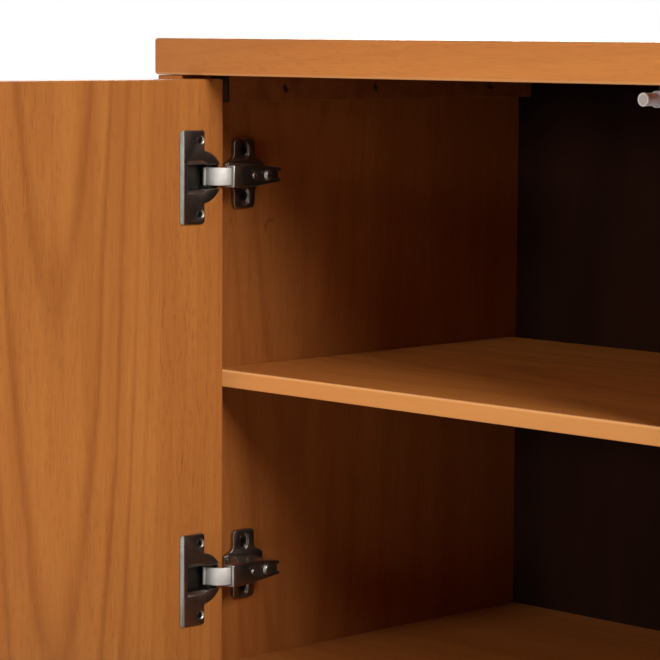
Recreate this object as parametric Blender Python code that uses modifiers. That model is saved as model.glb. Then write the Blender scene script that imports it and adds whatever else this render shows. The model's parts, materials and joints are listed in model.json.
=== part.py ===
"""Buffet cabinet with inset doors on concealed cup hinges, modelled as separate solids.

Metres, +Z up. The cabinet faces -Y and both doors stand open. In the cabinet frame the
carcass front is at Y = 0, the floor at Z = 0 and the middle of the cabinet at X = 0.
A hinge frame has its x from the inner face of a side panel towards the middle of the
cabinet, its y from the carcass front and its z from the middle of the hinge.
"""

import math

import bmesh
import bpy
from mathutils import Matrix, Vector

MM = 0.001

# Gap that is left between two pieces that touch
SEAT = 0.3 * MM

# Carcass
TOP_WIDTH = 914.0 * MM
TOP_THICKNESS = 25.0 * MM
TOP_OVERHANG = 2.0 * MM
TOP_EDGE_RADIUS = 2.2 * MM
CARCASS_DEPTH = 352.0 * MM
SIDE_THICKNESS = 25.0 * MM
BOTTOM_THICKNESS = 18.0 * MM
INNER_HEIGHT = 413.0 * MM
DIVIDER_THICKNESS = 18.0 * MM
DIVIDER_SETBACK = 2.5 * MM
BACK_THICKNESS = 6.0 * MM
BACK_INSET = 2.0 * MM
PANEL_EDGE_RADIUS = 0.8 * MM

# Shelves and the pins that carry them
SHELF_THICKNESS = 12.0 * MM
SHELF_DROP = 203.6 * MM
SHELF_SETBACK = 27.9 * MM
SHELF_BACK_GAP = 6.0 * MM
SHELF_END_GAP = 0.5 * MM
PIN_RADIUS = 2.5 * MM
PIN_COLLAR_RADIUS = 4.5 * MM
PIN_COLLAR_THICKNESS = 1.2 * MM
PIN_REACH = 9.0 * MM
PIN_DEPTH = 7.0 * MM
PIN_END_INSET = 42.0 * MM

# Battens that tie the top to the sides
CLEAT_WIDTH = 17.0 * MM
CLEAT_HEIGHT = 18.7 * MM
CLEAT_SETBACK = 26.0 * MM
CLEAT_BACK_GAP = 4.0 * MM
CLEAT_SIDE_HOLES = (56.0 * MM, 146.0 * MM, 268.0 * MM)
CLEAT_TOP_HOLES = (26.0 * MM, 117.0 * MM, 230.0 * MM)
CLEAT_HOLE_RADIUS = 3.2 * MM
CLEAT_HOLE_DEPTH = 6.0 * MM

# Doors
DOOR_THICKNESS = 18.0 * MM
DOOR_REVEAL = 2.5 * MM
DOOR_SIDE_GAP = 3.0 * MM
DOOR_MIDDLE_GAP = 3.0 * MM
DOOR_EDGE_RADIUS = 1.5 * MM
DOOR_OPEN_ANGLE = math.radians(92.0)

# Door axis in the hinge frame, and the heights of the hinges
AXIS_X = 12.8 * MM
AXIS_Y = 6.1 * MM
HINGE_END_INSET = 66.0 * MM

# Hinge cup, sunk in the door
CUP_RADIUS = 17.3 * MM
CUP_BORE_GAP = 0.3 * MM
CUP_EDGE_DISTANCE = 20.7 * MM
CUP_DEPTH = 12.6 * MM
CUP_FLOOR = 1.0 * MM
CUP_MOUTH_FAR = 12.4 * MM
CUP_MOUTH_NEAR = 1.0 * MM
CUP_MOUTH_SLANT = 4.9 * MM
CUP_MOUTH_HALF_HEIGHT = 11.4 * MM
CUP_FUNNEL_DEPTH = 3.2 * MM
CUP_WELL_HALF_HEIGHT = 8.4 * MM
CUP_WELL_NEAR = 7.6 * MM
CUP_NOTCH_HALF_HEIGHT = 8.2 * MM
CUP_NOTCH_DEPTH = 2.2 * MM
CUP_THROAT_REACH = 13.3 * MM
CUP_THROAT_GAP = 0.4 * MM
FLANGE_THICKNESS = 1.7 * MM
FLANGE_BEVEL_WIDTH = 2.2 * MM
FLANGE_BEVEL_DROP = 1.5 * MM
FLANGE_RIM_RADIUS = 17.9 * MM
FLANGE_HALF_HEIGHT = 31.7 * MM
FLANGE_NEAR = 2.3 * MM
FLANGE_FAR = 17.9 * MM
FLANGE_CORNER_RADIUS = 2.0 * MM
FLANGE_HOLE_SPACING = 50.0 * MM
FLANGE_HOLE_OFFSET = 1.5 * MM
FLANGE_HOLE_RADIUS = 2.2 * MM
FLANGE_SINK_RADIUS = 3.3 * MM

# Hinge link between the arm and the cup
LINK_PIVOT_X = 30.5 * MM
LINK_PIVOT_Y = 20.0 * MM
LINK_SWING_OFFSET = 5.0 * MM
LINK_BULGE = 5.4 * MM
LINK_THICKNESS = 2.0 * MM
LINK_HALF_WIDTH = 6.2 * MM
LINK_EDGE_RADIUS = 0.7 * MM
LINK_EYE_RADIUS = 1.8 * MM
LINK_PIN_RADIUS = 0.9 * MM

# Hinge arm, a cranked channel that narrows towards its tail
ARM_HALF_WIDTH = 7.6 * MM
ARM_TAIL_HALF_WIDTH = 4.7 * MM
ARM_WALL = 1.1 * MM
ARM_EDGE_RADIUS = 0.6 * MM
ARM_ROOF = 1.5 * MM
ARM_TIP_TOP = 34.5 * MM
ARM_TAIL_TOP = 31.0 * MM
ARM_TIP_DEPTH = 7.5 * MM
ARM_TAIL_DEPTH = 20.0 * MM
ARM_TIP_Y = 17.0 * MM
ARM_TIP_LEAN = 3.5 * MM
ARM_CRANK_START = 27.0 * MM
ARM_CRANK_END = 40.0 * MM
ARM_TAIL_Y = 64.0 * MM
ARM_SLOT_WIDTH = 5.0 * MM
ARM_SLOT_LENGTH = 16.0 * MM
ARM_SCREW_Y = 38.5 * MM

# Mounting plate of a hinge, a cross on the side panel with a block that the arm sits over
PLATE_HOLE_Y = 55.0 * MM
PLATE_HOLE_SPACING = 32.0 * MM
PLATE_WING_WIDTH = 19.5 * MM
PLATE_HALF_HEIGHT = 24.4 * MM
PLATE_THICKNESS = 3.2 * MM
PLATE_CORNER_RADIUS = 3.5 * MM
PLATE_FILLET = 4.5 * MM
PLATE_BASE_HALF_HEIGHT = 9.0 * MM
PLATE_BASE_END_HALF_HEIGHT = 7.6 * MM
PLATE_BASE_CORNER = 2.0 * MM
PLATE_BASE_OVERRUN = 2.0 * MM
PLATE_SLOT_HALF_WIDTH = 2.6 * MM
PLATE_SLOT_LENGTH = 9.5 * MM
PLATE_RECESS_MARGIN = 1.5 * MM
PLATE_RECESS_DEPTH = 1.2 * MM
PLATE_BLOCK_START = 43.0 * MM
PLATE_BLOCK_END = 63.0 * MM

# Push latches under the top
LATCH_FREE_INSET = 41.0 * MM
LATCH_DROP = 9.0 * MM
LATCH_BODY_RADIUS = 5.0 * MM
LATCH_BODY_LENGTH = 68.0 * MM
LATCH_BODY_SETBACK = 12.0 * MM
LATCH_SADDLE_HALF_WIDTH = 7.5 * MM
LATCH_SADDLE_SETBACK = 12.0 * MM
LATCH_BORE_LENGTH = 56.0 * MM
PLUNGER_RADIUS = 4.1 * MM
PLUNGER_NECK_RADIUS = 3.9 * MM
PLUNGER_CAP_LENGTH = 1.6 * MM
PLUNGER_LENGTH = 50.0 * MM
PLUNGER_TIP_RADIUS = 3.5 * MM
PLUNGER_TIP_LENGTH = 0.5 * MM
PLUNGER_GAP = 0.5 * MM
STRIKE_RADIUS = 6.0 * MM
STRIKE_THICKNESS = 1.0 * MM

# Legs and their plates
LEG_HEIGHT = 254.0 * MM
LEG_TOP_RADIUS = 19.0 * MM
LEG_FOOT_RADIUS = 11.5 * MM
LEG_EDGE = 1.5 * MM
LEG_INSET = 58.0 * MM
LEG_PLATE_SIZE = 64.0 * MM
LEG_PLATE_THICKNESS = 2.5 * MM
LEG_PLATE_CORNER = 8.0 * MM

# Facets of round shapes, the angles below which two faces are one and above which an edge is
# sharp, and the gap that is closed
FLAT_ANGLE = 0.001
SHARP_ANGLE = math.radians(32.0)
WELD = 0.01 * MM
ROUND_SIDES = 36
SMALL_SIDES = 16
CORNER_STEPS = 3
ARC_STEPS = 10

# Levels and places that follow from the sizes above
CARCASS_HALF_WIDTH = TOP_WIDTH / 2 - TOP_OVERHANG
INNER_HALF_WIDTH = CARCASS_HALF_WIDTH - SIDE_THICKNESS
FLOOR_TOP = LEG_HEIGHT + BOTTOM_THICKNESS
CEILING = FLOOR_TOP + INNER_HEIGHT
BACK_FACE = CARCASS_DEPTH - BACK_INSET - BACK_THICKNESS
DIVIDER_FRONT = DOOR_THICKNESS + DIVIDER_SETBACK
SHELF_TOP = CEILING - SHELF_DROP
SHELF_BOTTOM = SHELF_TOP - SHELF_THICKNESS
DOOR_LOW = FLOOR_TOP + DOOR_REVEAL
DOOR_HIGH = CEILING - DOOR_REVEAL
DOOR_EDGE_X = DOOR_SIDE_GAP
DOOR_FREE_X = INNER_HALF_WIDTH - DOOR_MIDDLE_GAP / 2
CUP_X = DOOR_EDGE_X + CUP_EDGE_DISTANCE
FLANGE_BACK = DOOR_THICKNESS + SEAT
FLANGE_FACE = FLANGE_BACK + FLANGE_THICKNESS
HINGE_HEIGHTS = {"upper": DOOR_HIGH - HINGE_END_INSET, "lower": DOOR_LOW + HINGE_END_INSET}
STRIKE_FACE = DOOR_THICKNESS + SEAT + STRIKE_THICKNESS
PLUNGER_TIP_Y = STRIKE_FACE + PLUNGER_GAP
LATCH_BODY_Y = PLUNGER_TIP_Y + LATCH_BODY_SETBACK
LATCH_X = DOOR_FREE_X - LATCH_FREE_INSET
LATCH_Z = CEILING - LATCH_DROP
LEG_TOP = LEG_HEIGHT - SEAT - LEG_PLATE_THICKNESS - SEAT
SIDES = {"left": -1, "right": 1}


def turned(point, angle):
    """A plan point of the closed door, turned about the door axis by an opening angle."""
    offset = Vector((point[0] - AXIS_X, point[1] - AXIS_Y))
    offset.rotate(Matrix.Rotation(-angle, 2))
    return Vector((AXIS_X, AXIS_Y)) + offset


def door_front_reach():
    """Y of the foremost point of an open door, on its rounded free edge."""
    inset = DOOR_EDGE_RADIUS
    corner = turned((DOOR_FREE_X - inset, DOOR_THICKNESS - inset), DOOR_OPEN_ANGLE)
    return corner.y - inset


def link_cup_end():
    """Plan place of the link's cup end, with the doors open.

    It lies on the line that halves the angle the link pivot turns through, seen from the
    door, so the link is as long with the door open as with the door closed.
    """
    pivot = Vector((LINK_PIVOT_X - AXIS_X, LINK_PIVOT_Y - AXIS_Y))
    halving = math.atan2(pivot.y, pivot.x) - DOOR_OPEN_ANGLE / 2
    return Vector((AXIS_X, AXIS_Y)) + LINK_SWING_OFFSET * Vector((math.cos(halving), math.sin(halving)))


def clear_scene():
    """Remove every object and collection that the file starts with."""
    for item in list(bpy.data.objects):
        bpy.data.objects.remove(item, do_unlink=True)
    for group in list(bpy.data.collections):
        bpy.data.collections.remove(group)


def new_collection(name):
    """A collection linked to the scene."""
    group = bpy.data.collections.new(name)
    bpy.context.scene.collection.children.link(group)
    return group


def new_material(name, colour, roughness, metallic=0.0):
    """A Principled material."""
    made = bpy.data.materials.new(name)
    made.use_nodes = True
    shader = made.node_tree.nodes["Principled BSDF"]
    shader.inputs["Base Color"].default_value = (*colour, 1.0)
    shader.inputs["Roughness"].default_value = roughness
    shader.inputs["Metallic"].default_value = metallic
    return made


def mesh_from(name, bm):
    """Turn a bmesh into a mesh with its faces pointing out."""
    bmesh.ops.recalc_face_normals(bm, faces=bm.faces)
    if bm.calc_volume(signed=True) < 0.0:
        bmesh.ops.reverse_faces(bm, faces=bm.faces)
    mesh = bpy.data.meshes.new(name)
    bm.to_mesh(mesh)
    bm.free()
    return mesh


def box_mesh(name, low, high):
    """A box between two corners."""
    bm = bmesh.new()
    bmesh.ops.create_cube(bm, size=1.0)
    size = [high[i] - low[i] for i in range(3)]
    middle = [(high[i] + low[i]) / 2 for i in range(3)]
    bmesh.ops.scale(bm, vec=size, verts=bm.verts)
    bmesh.ops.translate(bm, vec=middle, verts=bm.verts)
    return mesh_from(name, bm)


def rod_mesh(name, radius, start, end, sides=SMALL_SIDES, end_radius=None):
    """A cylinder from one point to another, or a cone where its end has its own radius."""
    start = Vector(start)
    along = Vector(end) - start
    top = end_radius or radius
    bm = bmesh.new()
    bmesh.ops.create_cone(bm, cap_ends=True, segments=sides, radius1=radius, radius2=top, depth=along.length)
    turn = along.to_track_quat("Z", "Y").to_matrix()
    bmesh.ops.rotate(bm, matrix=turn, verts=bm.verts)
    bmesh.ops.translate(bm, vec=start + along / 2, verts=bm.verts)
    return mesh_from(name, bm)


def plate_mesh(name, outline, low, high, plane="XY"):
    """A closed outline pulled from one level to another, across XY, XZ or YZ."""
    curve = bpy.data.curves.new(name, "CURVE")
    curve.dimensions = "2D"
    curve.fill_mode = "BOTH"
    curve.extrude = (high - low) / 2
    spline = curve.splines.new("POLY")
    spline.points.add(len(outline) - 1)
    for point, place in zip(spline.points, outline):
        point.co = (place[0], place[1], 0.0, 1.0)
    spline.use_cyclic_u = True
    holder = bpy.data.objects.new(name, curve)
    bpy.context.scene.collection.objects.link(holder)
    bpy.context.view_layer.update()
    evaluated = holder.evaluated_get(bpy.context.evaluated_depsgraph_get())
    flat = bpy.data.meshes.new_from_object(evaluated)
    bm = bmesh.new()
    bm.from_mesh(flat)
    bpy.data.objects.remove(holder, do_unlink=True)
    bpy.data.curves.remove(curve)
    bpy.data.meshes.remove(flat)
    bmesh.ops.remove_doubles(bm, verts=bm.verts, dist=WELD)
    bmesh.ops.dissolve_limit(bm, angle_limit=FLAT_ANGLE, verts=bm.verts, edges=bm.edges)
    middle = (high + low) / 2
    for vert in bm.verts:
        a, b, c = vert.co.x, vert.co.y, vert.co.z + middle
        vert.co = {"XY": (a, b, c), "XZ": (a, c, b), "YZ": (c, a, b)}[plane]
    return mesh_from(name, bm)


def arc_points(centre, radius, start, end, steps):
    """Points along a circular arc, both ends included."""
    points = []
    for step in range(steps + 1):
        angle = start + (end - start) * step / steps
        points.append((centre[0] + radius * math.cos(angle), centre[1] + radius * math.sin(angle)))
    return points


def rounded_rectangle(low, high, radius):
    """Outline of a rectangle with round corners."""
    points = []
    corners = (
        (high[0] - radius, high[1] - radius),
        (low[0] + radius, high[1] - radius),
        (low[0] + radius, low[1] + radius),
        (high[0] - radius, low[1] + radius),
    )
    for turn, corner in enumerate(corners):
        start = turn * math.pi / 2
        points += arc_points(corner, radius, start, start + math.pi / 2, CORNER_STEPS)
    return points


def tapered(mesh, start, end, ratio, middle=0.0):
    """Scale a mesh's height about a level, from nothing at Y = start to a ratio at Y = end.

    Its slanting walls are no longer flat then, so they are split into triangles.
    """
    bm = bmesh.new()
    bm.from_mesh(mesh)
    whole = bm.verts[:] + bm.edges[:] + bm.faces[:]
    bmesh.ops.bisect_plane(bm, geom=whole, plane_co=(0.0, start, 0.0), plane_no=(0.0, 1.0, 0.0))
    for vert in bm.verts:
        share = max((vert.co.y - start) / (end - start), 0.0)
        vert.co.z = middle + (vert.co.z - middle) * (1.0 + (ratio - 1.0) * share)
    bm.normal_update()
    bmesh.ops.triangulate(bm, faces=bm.faces)
    bpy.data.meshes.remove(mesh)
    return mesh_from("tapered", bm)


def bevelled(mesh, width, segments=2):
    """Round a mesh's sharp edges before it is shaped further."""
    bm = bmesh.new()
    bm.from_mesh(mesh)
    sharp = [edge for edge in bm.edges if edge.calc_face_angle() > SHARP_ANGLE]
    bmesh.ops.bevel(bm, geom=sharp, offset=width, segments=segments, profile=0.5, affect="EDGES")
    bpy.data.meshes.remove(mesh)
    return mesh_from("bevelled", bm)


def mirrored(mesh):
    """The same mesh mirrored across X = 0."""
    bm = bmesh.new()
    bm.from_mesh(mesh)
    bmesh.ops.scale(bm, vec=(-1.0, 1.0, 1.0), verts=bm.verts)
    bpy.data.meshes.remove(mesh)
    return mesh_from("mirrored", bm)


class Cabinet:
    """Collects the cabinet's pieces under one root."""

    def __init__(self):
        self.parts = new_collection("buffet_cabinet")
        self.cutters = new_collection("cutters")
        self.root = self.add_pivot("cabinet_root", (0.0, -(CARCASS_DEPTH + door_front_reach()) / 2, 0.0))
        self.veneer = new_material("walnut_veneer", (0.36, 0.14, 0.045), 0.42)
        self.edge_wood = new_material("cleat_wood", (0.30, 0.15, 0.06), 0.55)
        self.board = new_material("back_board", (0.20, 0.10, 0.05), 0.6)
        self.nickel = new_material("black_nickel", (0.09, 0.08, 0.075), 0.22, 1.0)
        self.bright = new_material("bright_nickel", (0.72, 0.70, 0.67), 0.25, 1.0)
        self.plastic = new_material("grey_plastic", (0.36, 0.36, 0.35), 0.45)
        self.steel = new_material("zinc_steel", (0.62, 0.61, 0.59), 0.35, 1.0)

    def add_pivot(self, name, place, turn=0.0, parent=None):
        """An empty that carries the pieces that move or stand together."""
        pivot = bpy.data.objects.new(name, None)
        pivot.location = place
        pivot.rotation_euler = (0.0, 0.0, turn)
        pivot.parent = parent
        self.parts.objects.link(pivot)
        return pivot

    def add(self, name, mesh, material, parent=None, place=(0.0, 0.0, 0.0)):
        """A named piece on a parent."""
        mesh.name = name
        mesh.materials.clear()
        mesh.materials.append(material)
        piece = bpy.data.objects.new(name, mesh)
        piece.location = place
        piece.parent = parent or self.root
        self.parts.objects.link(piece)
        return piece

    def tool(self, piece, mesh):
        """A hidden cutter that stands where its piece stands."""
        cutter = bpy.data.objects.new(piece.name + ".cutter", mesh)
        cutter.location = piece.location
        cutter.parent = piece.parent
        cutter.hide_render = True
        cutter.display_type = "WIRE"
        self.cutters.objects.link(cutter)
        return cutter

    def combine(self, piece, mesh, operation):
        """A Boolean of a piece with a mesh in the piece's own frame."""
        step = piece.modifiers.new(operation.lower(), "BOOLEAN")
        step.operation = operation
        step.solver = "EXACT"
        step.object = self.tool(piece, mesh)

    def cut(self, piece, mesh):
        """Cut a mesh out of a piece."""
        self.combine(piece, mesh, "DIFFERENCE")

    def join(self, piece, mesh):
        """Join a mesh to a piece."""
        self.combine(piece, mesh, "UNION")


def ease_edges(piece, width, segments=2):
    """Round the edges of a piece."""
    bevel = piece.modifiers.new("eased_edges", "BEVEL")
    bevel.width = width
    bevel.segments = segments
    bevel.limit_method = "ANGLE"


def shade_round(piece):
    """Shade a finished round piece smooth, with its real edges kept sharp and its flats flat."""
    piece.data.shade_smooth()
    piece.data.set_sharp_from_angle(angle=SHARP_ANGLE)
    flats = piece.modifiers.new("flat_faces", "WEIGHTED_NORMAL")
    flats.keep_sharp = True


def make_carcass(cabinet):
    """Top, sides, bottom, back and the divider."""
    half_top = TOP_WIDTH / 2
    top_corner = (half_top, CARCASS_DEPTH, CEILING + TOP_THICKNESS)
    top = box_mesh("top", (-half_top, -TOP_OVERHANG, CEILING), top_corner)
    ease_edges(cabinet.add("top_panel", top, cabinet.veneer), TOP_EDGE_RADIUS, 3)
    for name, side in SIDES.items():
        faces = sorted((side * INNER_HALF_WIDTH, side * CARCASS_HALF_WIDTH))
        mesh = box_mesh(name, (faces[0], 0.0, LEG_HEIGHT), (faces[1], CARCASS_DEPTH, CEILING - SEAT))
        panel = cabinet.add(f"{name}_side_panel", mesh, cabinet.veneer)
        ease_edges(panel, PANEL_EDGE_RADIUS)
        for y in pin_places():
            cabinet.cut(panel, pin_hole(side * INNER_HALF_WIDTH, side, y))
    inner = INNER_HALF_WIDTH - SEAT
    mesh = box_mesh("bottom", (-inner, 0.0, LEG_HEIGHT), (inner, CARCASS_DEPTH, FLOOR_TOP))
    ease_edges(cabinet.add("bottom_panel", mesh, cabinet.veneer), PANEL_EDGE_RADIUS)
    low = FLOOR_TOP + SEAT
    high = CEILING - SEAT
    mesh = box_mesh("back", (-inner, BACK_FACE, low), (inner, BACK_FACE + BACK_THICKNESS, high))
    cabinet.add("back_panel", mesh, cabinet.board)
    half = DIVIDER_THICKNESS / 2
    mesh = box_mesh("divider", (-half, DIVIDER_FRONT, low), (half, BACK_FACE - SEAT, high))
    divider = cabinet.add("centre_divider", mesh, cabinet.veneer)
    ease_edges(divider, PANEL_EDGE_RADIUS)
    for side in SIDES.values():
        for y in pin_places():
            cabinet.cut(divider, pin_hole(side * half, -side, y))


def pin_places():
    """Depths of the front and rear shelf pins."""
    return (SHELF_SETBACK + PIN_END_INSET, BACK_FACE - SHELF_BACK_GAP - PIN_END_INSET)


def pin_level():
    """Height of the shelf pins, whose shanks the shelf lies on."""
    return SHELF_BOTTOM - SEAT - PIN_RADIUS


def pin_hole(face_x, into, y):
    """Cutter of a pin's hole; into is the way the hole goes along X."""
    start = (face_x - into * PIN_DEPTH, y, pin_level())
    end = (face_x + into * (PIN_DEPTH + SEAT), y, pin_level())
    return rod_mesh("pin_hole", PIN_RADIUS + SEAT, start, end)


def make_pin(cabinet, name, face_x, into, y):
    """A shelf pin: a shank in the panel with a collar against its face."""
    level = pin_level()
    start = (face_x + into * PIN_DEPTH, y, level)
    end = (face_x - into * PIN_REACH, y, level)
    pin = cabinet.add(name, rod_mesh(name, PIN_RADIUS, start, end), cabinet.steel)
    collar_start = (face_x - into * SEAT, y, level)
    collar_end = (face_x - into * (SEAT + PIN_COLLAR_THICKNESS), y, level)
    collar = rod_mesh("collar", PIN_COLLAR_RADIUS, collar_start, collar_end)
    lid_low = (-PIN_END_INSET, y - PIN_COLLAR_RADIUS, SHELF_BOTTOM - SEAT)
    lid_high = (PIN_END_INSET, y + PIN_COLLAR_RADIUS, SHELF_BOTTOM + PIN_COLLAR_RADIUS)
    cabinet.join(pin, collar)
    lid = box_mesh("lid", lid_low, lid_high)
    lid.transform(Matrix.Translation((face_x, 0.0, 0.0)))
    cabinet.cut(pin, lid)
    shade_round(pin)


def make_shelves(cabinet):
    """A shelf on four pins in each bay."""
    half = DIVIDER_THICKNESS / 2
    for name, side in SIDES.items():
        ends = sorted((side * (half + SHELF_END_GAP), side * (INNER_HALF_WIDTH - SHELF_END_GAP)))
        low = (ends[0], SHELF_SETBACK, SHELF_BOTTOM)
        high = (ends[1], BACK_FACE - SHELF_BACK_GAP, SHELF_TOP)
        ease_edges(cabinet.add(f"{name}_shelf", box_mesh(name, low, high), cabinet.veneer), PANEL_EDGE_RADIUS)
        for place, y in zip(("front", "rear"), pin_places()):
            make_pin(cabinet, f"{name}_outer_{place}_shelf_pin", side * INNER_HALF_WIDTH, side, y)
            make_pin(cabinet, f"{name}_inner_{place}_shelf_pin", side * half, -side, y)


def make_cleats(cabinet):
    """Battens in the corners between the sides and the top, with their screw holes."""
    start = CLEAT_SETBACK
    for name, side in SIDES.items():
        outer = side * (INNER_HALF_WIDTH - SEAT)
        inner = side * (INNER_HALF_WIDTH - CLEAT_WIDTH)
        faces = sorted((outer, inner))
        low = (faces[0], start, CEILING - CLEAT_HEIGHT)
        high = (faces[1], BACK_FACE - CLEAT_BACK_GAP, CEILING - SEAT)
        cleat = cabinet.add(f"{name}_top_cleat", box_mesh(name, low, high), cabinet.edge_wood)
        ease_edges(cleat, PANEL_EDGE_RADIUS, 1)
        middle_x = (outer + inner) / 2
        middle_z = CEILING - CLEAT_HEIGHT / 2
        for along in CLEAT_SIDE_HOLES:
            begin = (inner + side * CLEAT_HOLE_DEPTH, start + along, middle_z)
            end = (inner - side * CLEAT_HOLE_DEPTH, start + along, middle_z)
            cabinet.cut(cleat, rod_mesh("side_hole", CLEAT_HOLE_RADIUS, begin, end))
        for along in CLEAT_TOP_HOLES:
            begin = (middle_x, start + along, CEILING - CLEAT_HEIGHT - CLEAT_HOLE_DEPTH)
            end = (middle_x, start + along, CEILING - CLEAT_HEIGHT + CLEAT_HOLE_DEPTH)
            cabinet.cut(cleat, rod_mesh("top_hole", CLEAT_HOLE_RADIUS, begin, end))


def handed(mesh, side):
    """A mesh of the left hinge frame, as it is or mirrored for the right."""
    return mesh if side < 0 else mirrored(mesh)


def make_doors(cabinet):
    """Both doors on their axes, with hinge cups and latch strikes."""
    for name, side in SIDES.items():
        place = (side * (INNER_HALF_WIDTH - AXIS_X), AXIS_Y, 0.0)
        pivot = cabinet.add_pivot(f"{name}_door_pivot", place, side * DOOR_OPEN_ANGLE, cabinet.root)
        low = (DOOR_EDGE_X - AXIS_X, -AXIS_Y, DOOR_LOW)
        high = (DOOR_FREE_X - AXIS_X, DOOR_THICKNESS - AXIS_Y, DOOR_HIGH)
        door = cabinet.add(f"{name}_door", handed(box_mesh(name, low, high), side), cabinet.veneer, pivot)
        ease_edges(door, DOOR_EDGE_RADIUS, 3)
        for level, height in HINGE_HEIGHTS.items():
            cabinet.cut(door, handed(cup_bore(height), side))
            make_cup(cabinet, f"{name}_{level}_hinge_cup", pivot, side, height)
        make_strike(cabinet, f"{name}_latch_strike", pivot, side)


def cup_bore(height):
    """Cutter of the bore that a hinge cup sits in, in the door's own frame."""
    x = CUP_X - AXIS_X
    floor = DOOR_THICKNESS - CUP_DEPTH - SEAT - AXIS_Y
    start = (x, floor, height)
    end = (x, DOOR_THICKNESS + CUP_DEPTH - AXIS_Y, height)
    return rod_mesh("cup_bore", CUP_RADIUS + CUP_BORE_GAP, start, end, ROUND_SIDES)


def flange_outline():
    """Outline of a cup flange in X and Z, about the middle of the cup.

    A straight strip with round corners, and an arc of the cup's rim on the side of the
    door's hinge edge.
    """
    half = FLANGE_HALF_HEIGHT
    corner = FLANGE_CORNER_RADIUS
    meeting = math.pi - math.acos(FLANGE_NEAR / FLANGE_RIM_RADIUS)
    points = arc_points((FLANGE_FAR - corner, half - corner), corner, 0.0, math.pi / 2, CORNER_STEPS)
    points += arc_points((corner - FLANGE_NEAR, half - corner), corner, math.pi / 2, math.pi, CORNER_STEPS)
    points += arc_points((0.0, 0.0), FLANGE_RIM_RADIUS, meeting, 2 * math.pi - meeting, ARC_STEPS * 2)
    points += arc_points((corner - FLANGE_NEAR, corner - half), corner, math.pi, 1.5 * math.pi, CORNER_STEPS)
    last = (FLANGE_FAR - corner, corner - half)
    return points + arc_points(last, corner, 1.5 * math.pi, 2 * math.pi, CORNER_STEPS)


def mouth_outline():
    """Outline of a cup's mouth in X and Z, about the middle of the cup.

    Wide over the arm, and slanting in to the notch on the side of the door's hinge edge.
    """
    slant_end = -CUP_MOUTH_NEAR - CUP_MOUTH_SLANT
    upper = [
        (CUP_MOUTH_FAR, CUP_MOUTH_HALF_HEIGHT),
        (-CUP_MOUTH_NEAR, CUP_MOUTH_HALF_HEIGHT),
        (slant_end, CUP_NOTCH_HALF_HEIGHT),
    ]
    return upper + [(x, -z) for x, z in reversed(upper)]


def make_cup(cabinet, name, pivot, side, height):
    """A hinge cup: a flange on the door with a hollow boss in the bore."""
    x = CUP_X - AXIS_X
    back = FLANGE_BACK - AXIS_Y
    face = FLANGE_FACE - AXIS_Y
    outline = [(x + a, height + b) for a, b in flange_outline()]
    cup = cabinet.add(name, handed(plate_mesh(name, outline, back, face, "XZ"), side), cabinet.nickel, pivot)
    floor = DOOR_THICKNESS - CUP_DEPTH - AXIS_Y
    boss = rod_mesh("boss", CUP_RADIUS, (x, floor, height), (x, (back + face) / 2, height), ROUND_SIDES)
    cabinet.join(cup, handed(boss, side))
    width, drop = FLANGE_BEVEL_WIDTH, FLANGE_BEVEL_DROP
    bevel = [
        (x + FLANGE_FAR - 2 * width, face + drop),
        (x + FLANGE_FAR + width, face - 2 * drop),
        (x + FLANGE_FAR + width, face + drop),
    ]
    reach = FLANGE_HALF_HEIGHT + width
    cabinet.cut(cup, handed(plate_mesh("bevel", bevel, height - reach, height + reach), side))
    hollow_cup(cabinet, cup, side, (x, height), floor + CUP_FLOOR, face)
    for end in (-1, 1):
        drill_flange(cabinet, cup, side, (x + FLANGE_HOLE_OFFSET, height + end * FLANGE_HOLE_SPACING / 2))
    shade_round(cup)


def hollow_cup(cabinet, cup, side, middle, floor, face):
    """Cut a cup's mouth, the well under it, the throat for the link and the notch in the rim."""
    x, height = middle
    above = face + SEAT
    outline = [(x + a, height + b) for a, b in mouth_outline()]
    deep = face - CUP_FUNNEL_DEPTH
    mouth = plate_mesh("mouth", outline, deep - SEAT, above, "XZ")
    funnel = tapered(mouth, above, deep, CUP_WELL_HALF_HEIGHT / CUP_MOUTH_HALF_HEIGHT, height)
    cabinet.cut(cup, handed(funnel, side))
    throat_half = LINK_HALF_WIDTH + CUP_THROAT_GAP
    for near, far, half, low in (
        (CUP_WELL_NEAR, CUP_MOUTH_FAR - SEAT, CUP_WELL_HALF_HEIGHT, floor),
        (CUP_THROAT_REACH, 0.0, throat_half, floor),
        (2 * FLANGE_RIM_RADIUS, 0.0, CUP_NOTCH_HALF_HEIGHT, DOOR_THICKNESS - CUP_NOTCH_DEPTH - AXIS_Y),
    ):
        corner = (x - near, low, height - half)
        cabinet.cut(cup, handed(box_mesh("well", corner, (x + far, above + SEAT, height + half)), side))


def drill_flange(cabinet, cup, side, place):
    """Cut a countersunk screw hole in a cup's flange."""
    x, z = place
    back = FLANGE_BACK - AXIS_Y
    face = FLANGE_FACE - AXIS_Y
    hole = rod_mesh("hole", FLANGE_HOLE_RADIUS, (x, back - SEAT, z), (x, face, z))
    cabinet.cut(cup, handed(hole, side))
    depth = FLANGE_SINK_RADIUS - FLANGE_HOLE_RADIUS
    wide = FLANGE_SINK_RADIUS + SEAT
    sink = rod_mesh("sink", FLANGE_HOLE_RADIUS, (x, face - depth, z), (x, face + SEAT, z), end_radius=wide)
    cabinet.cut(cup, handed(sink, side))


def make_strike(cabinet, name, pivot, side):
    """The round strike plate that a latch plunger meets when its door is closed."""
    start = (LATCH_X - AXIS_X, DOOR_THICKNESS + SEAT - AXIS_Y, LATCH_Z)
    end = (LATCH_X - AXIS_X, STRIKE_FACE - AXIS_Y, LATCH_Z)
    disc = rod_mesh(name, STRIKE_RADIUS, start, end, ROUND_SIDES)
    shade_round(cabinet.add(name, handed(disc, side), cabinet.steel, pivot))


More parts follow.
